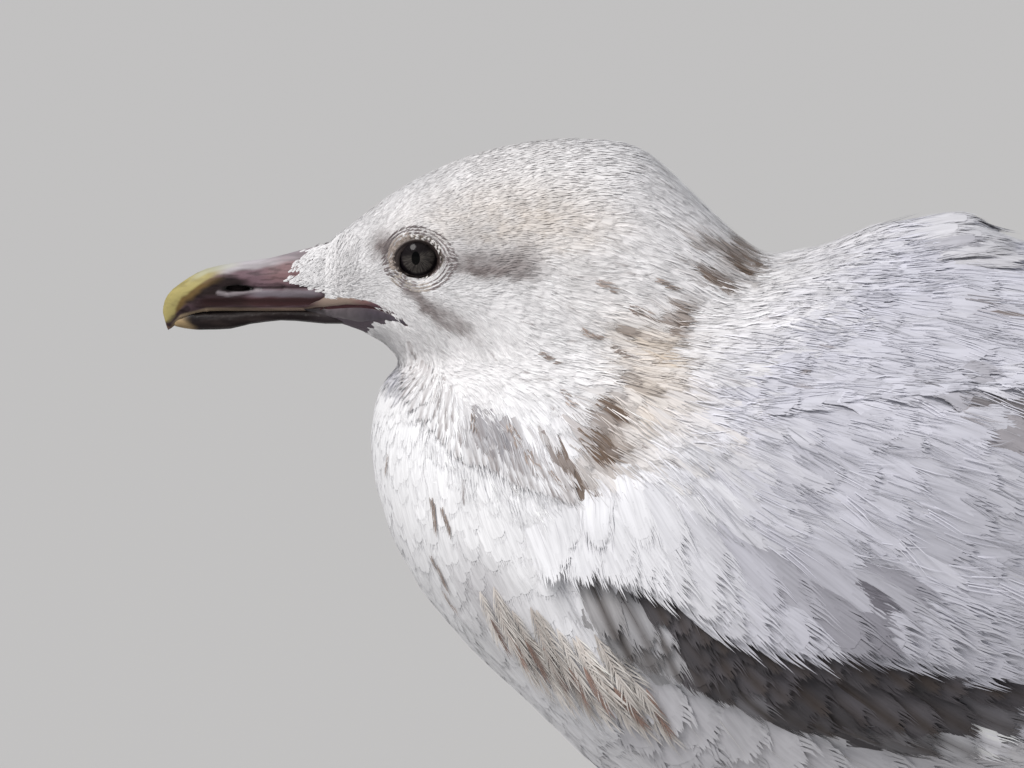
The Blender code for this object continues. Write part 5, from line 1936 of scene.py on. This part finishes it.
def make_mouth_corner(side, material):
    rows = len(LIP_PROFILE)
    lips = primitive(
        f"mouth_corner_{side}", bpy.ops.mesh.primitive_grid_add,
        x_subdivisions=LIP_STEPS, y_subdivisions=rows - 1, size=2.0,
    )
    flat = points_of(lips)
    share = (flat[:, 0] + 1.0) / 2.0
    row = np.round((flat[:, 1] + 1.0) / 2.0 * (rows - 1)).astype(int)
    across, raised = np.array(LIP_PROFILE)[row].T
    along = along_line([p[0] for p in MOUTH], share)
    breadth = np.where(across > 0, np.interp(along, *UPPER_LIP), np.interp(along, *LOWER_LIP))
    height = along_line([p[1] for p in MOUTH], share) + across * breadth
    spots, normals = mouth_ground.seen_from_side(along, height, SIDES[side])
    for line in range(rows):  # the step from horn to skin is evened out
        mine = np.flatnonzero(row == line)
        mine = mine[np.argsort(share[mine])]
        spots[mine, 1] = evened(spots[mine, 1])
    fold = 0.10 * np.sin(share * 60.0 + across * 5.0) * (np.abs(across) > 0.2)
    lift = raised * np.minimum(1.0, breadth / 3.0) + fold * np.minimum(1.0, breadth / 3.0)
    out = np.array([[0.0, SIDES[side], 0.0]])
    set_points(lips, spots + unit(normals * 0.5 + out) * lift[:, None] * MM)
    rough = grain(spots, 1.2, 9.0)
    upper = painted(
        np.tile(np.array(LIP_TAN), (len(flat), 1)),
        (RED_BROWN, (1.0 - soft_step(along, 43.5, 49.0)) * band(across, 0.35, 1.2, 0.2)),
        (LIP_ROSE, soft_step(along + rough, 55.0, 60.0)),
        (LIP_PLUM, soft_step(along + rough, 60.0, 64.0)),
    )
    # The lower lip darkens towards the corner: purple-grey bare skin, partly painted shade under the upper
    # lip.
    lower = painted(
        np.tile(np.array(LIP_GREY), (len(flat), 1)),
        (HORN_BLACK, (1.0 - soft_step(along + rough, 45.0, 51.0)) * 0.8),
        (LIP_SLATE, soft_step(along + rough * 2.0, 55.0, 63.0)),
    )
    colours = np.where((across > 0)[:, None], upper, lower * (1.0 + 0.4 * rough[:, None]))
    colours = blend(colours, LIP_FURROW, np.clip(1.25 - np.abs(across) / 0.12, 0, 1))
    add_values(lips.data, "Plume", colours)
    face_out_and_round(lips, side)
    return clothe(lips, material, "bill")


for side in SIDES:
    make_mouth_corner(side, lid_material)

# %% [markdown]
# ## Legs and feet
#
# The bare leg is covered with scutes: small plates in a row down the front of the leg and along each toe,
# and a fine net elsewhere. The solids already have the right shapes, so a remesh only rounds them and the
# plates are a relief in the finish. The soles stay flat on the floor.

# %% Legs
leg_finish = Finish("scaly skin of the legs", Specular_IOR_Level=0.4)
leg_along, _, leg_height = leg_finish.place()
plates = ((leg_height + leg_along * 0.5) * 2.6).sine() * 0.5 + 0.5
net = leg_finish.node("ShaderNodeTexVoronoi", {}, {"Scale": 900.0})
leg_relief = plates * 0.6 + net * 0.6
leg_tone = leg_finish.mottle(140.0)
leg_colour = leg_finish.mix(leg_tone.ramp(0.35, 0.7), (0.50, 0.34, 0.32), (0.36, 0.27, 0.27))
leg_colour = leg_finish.mix(plates.ramp(0.25, 0.0) * 0.55, leg_colour, (0.20, 0.13, 0.12))
leg_gloss = leg_tone * 0.2 + 0.42
leg_material = leg_finish.finish(colour=leg_colour, roughness=leg_gloss, height=leg_relief, depth=0.35)

claw_finish = Finish("claws", Specular_IOR_Level=0.5)
claw_lines = claw_finish.mottle(800.0, 3.0, (0.3, 1.0, 1.0))
claw_material = claw_finish.finish(
    colour=claw_finish.mix(claw_lines, (0.020, 0.016, 0.014), (0.075, 0.060, 0.050)),
    roughness=claw_lines * 0.2 + 0.25,
    height=claw_lines,
    depth=0.05,
)


def make_leg(side):
    nodes = [f"{part}_{side}" for part in ("tarsus", "foot", "hallux")]
    leg = rounded(f"leg_{side}", nodes, voxel=0.75, smoothing=3, swell=0.3)
    points = points_of(leg)
    points[:, 2] = np.maximum(points[:, 2], FLOOR)
    set_points(leg, points)
    print(leg.name, len(leg.data.polygons), "faces")
    return clothe(leg, leg_material, "leg", *nodes)


for side in SIDES:
    make_leg(side)
for name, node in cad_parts.items():
    if name.startswith("claw_"):
        node.data.materials.clear()
        node.data.materials.append(claw_material)

# %% [markdown]
# ## The studio
#
# A pale floor, one broad soft lamp and a pale sky. The camera looks at the head and shoulder from the left.

# %% Camera, floor and light
FRAME_WIDTH = 0.3072
CAMERA_DISTANCE = 1.5
CAMERA_RISE = math.radians(8.0)


LOOK_AT = at(104.1, 0.0, 207.9)
KEY_FROM = (-0.75, -0.8, 1.25)


def aimed(data, back):
    """A camera or a lamp in the scene, turned to look away from back."""
    obj = new_object(data.name, data)
    obj.rotation_mode = "QUATERNION"
    obj.rotation_quaternion = (-back).to_track_quat("-Z", "Y")
    return obj


def add_camera():
    data = bpy.data.cameras.new("camera")
    data.sensor_width = 36.0
    data.lens = data.sensor_width * CAMERA_DISTANCE / FRAME_WIDTH
    back = Vector((0.0, -math.cos(CAMERA_RISE), math.sin(CAMERA_RISE)))
    scene.camera = aimed(data, back)
    scene.camera.location = LOOK_AT + back * CAMERA_DISTANCE


def add_floor():
    floor = primitive("studio_floor", bpy.ops.mesh.primitive_plane_add, size=30.0, location=(0.0, 0.0, FLOOR))
    finish = Finish("pale floor", Roughness=0.9, Base_Color=(0.50, 0.49, 0.48, 1.0))
    floor.data.materials.append(finish.finish(height=finish.mottle(3.0), depth=0.1))


def add_light(name, where, spread, power, colour):
    """A far, broad lamp: its spread is the angle that it fills in the sky, in degrees."""
    data = bpy.data.lights.new(name, "SUN")
    data.angle = math.radians(spread)
    data.energy = power
    data.color = colour
    aimed(data, Vector(where))


add_camera()
add_floor()
add_light("key", KEY_FROM, 28.0, 3.3, (1.0, 0.98, 0.96))
scene.view_settings.view_transform = "Standard"
world = bpy.data.worlds.new("studio")
world.use_nodes = True
world.node_tree.nodes["Background"].inputs["Color"].default_value = (0.80, 0.86, 0.95, 1.0)
world.node_tree.nodes["Background"].inputs["Strength"].default_value = 0.36
scene.world = world
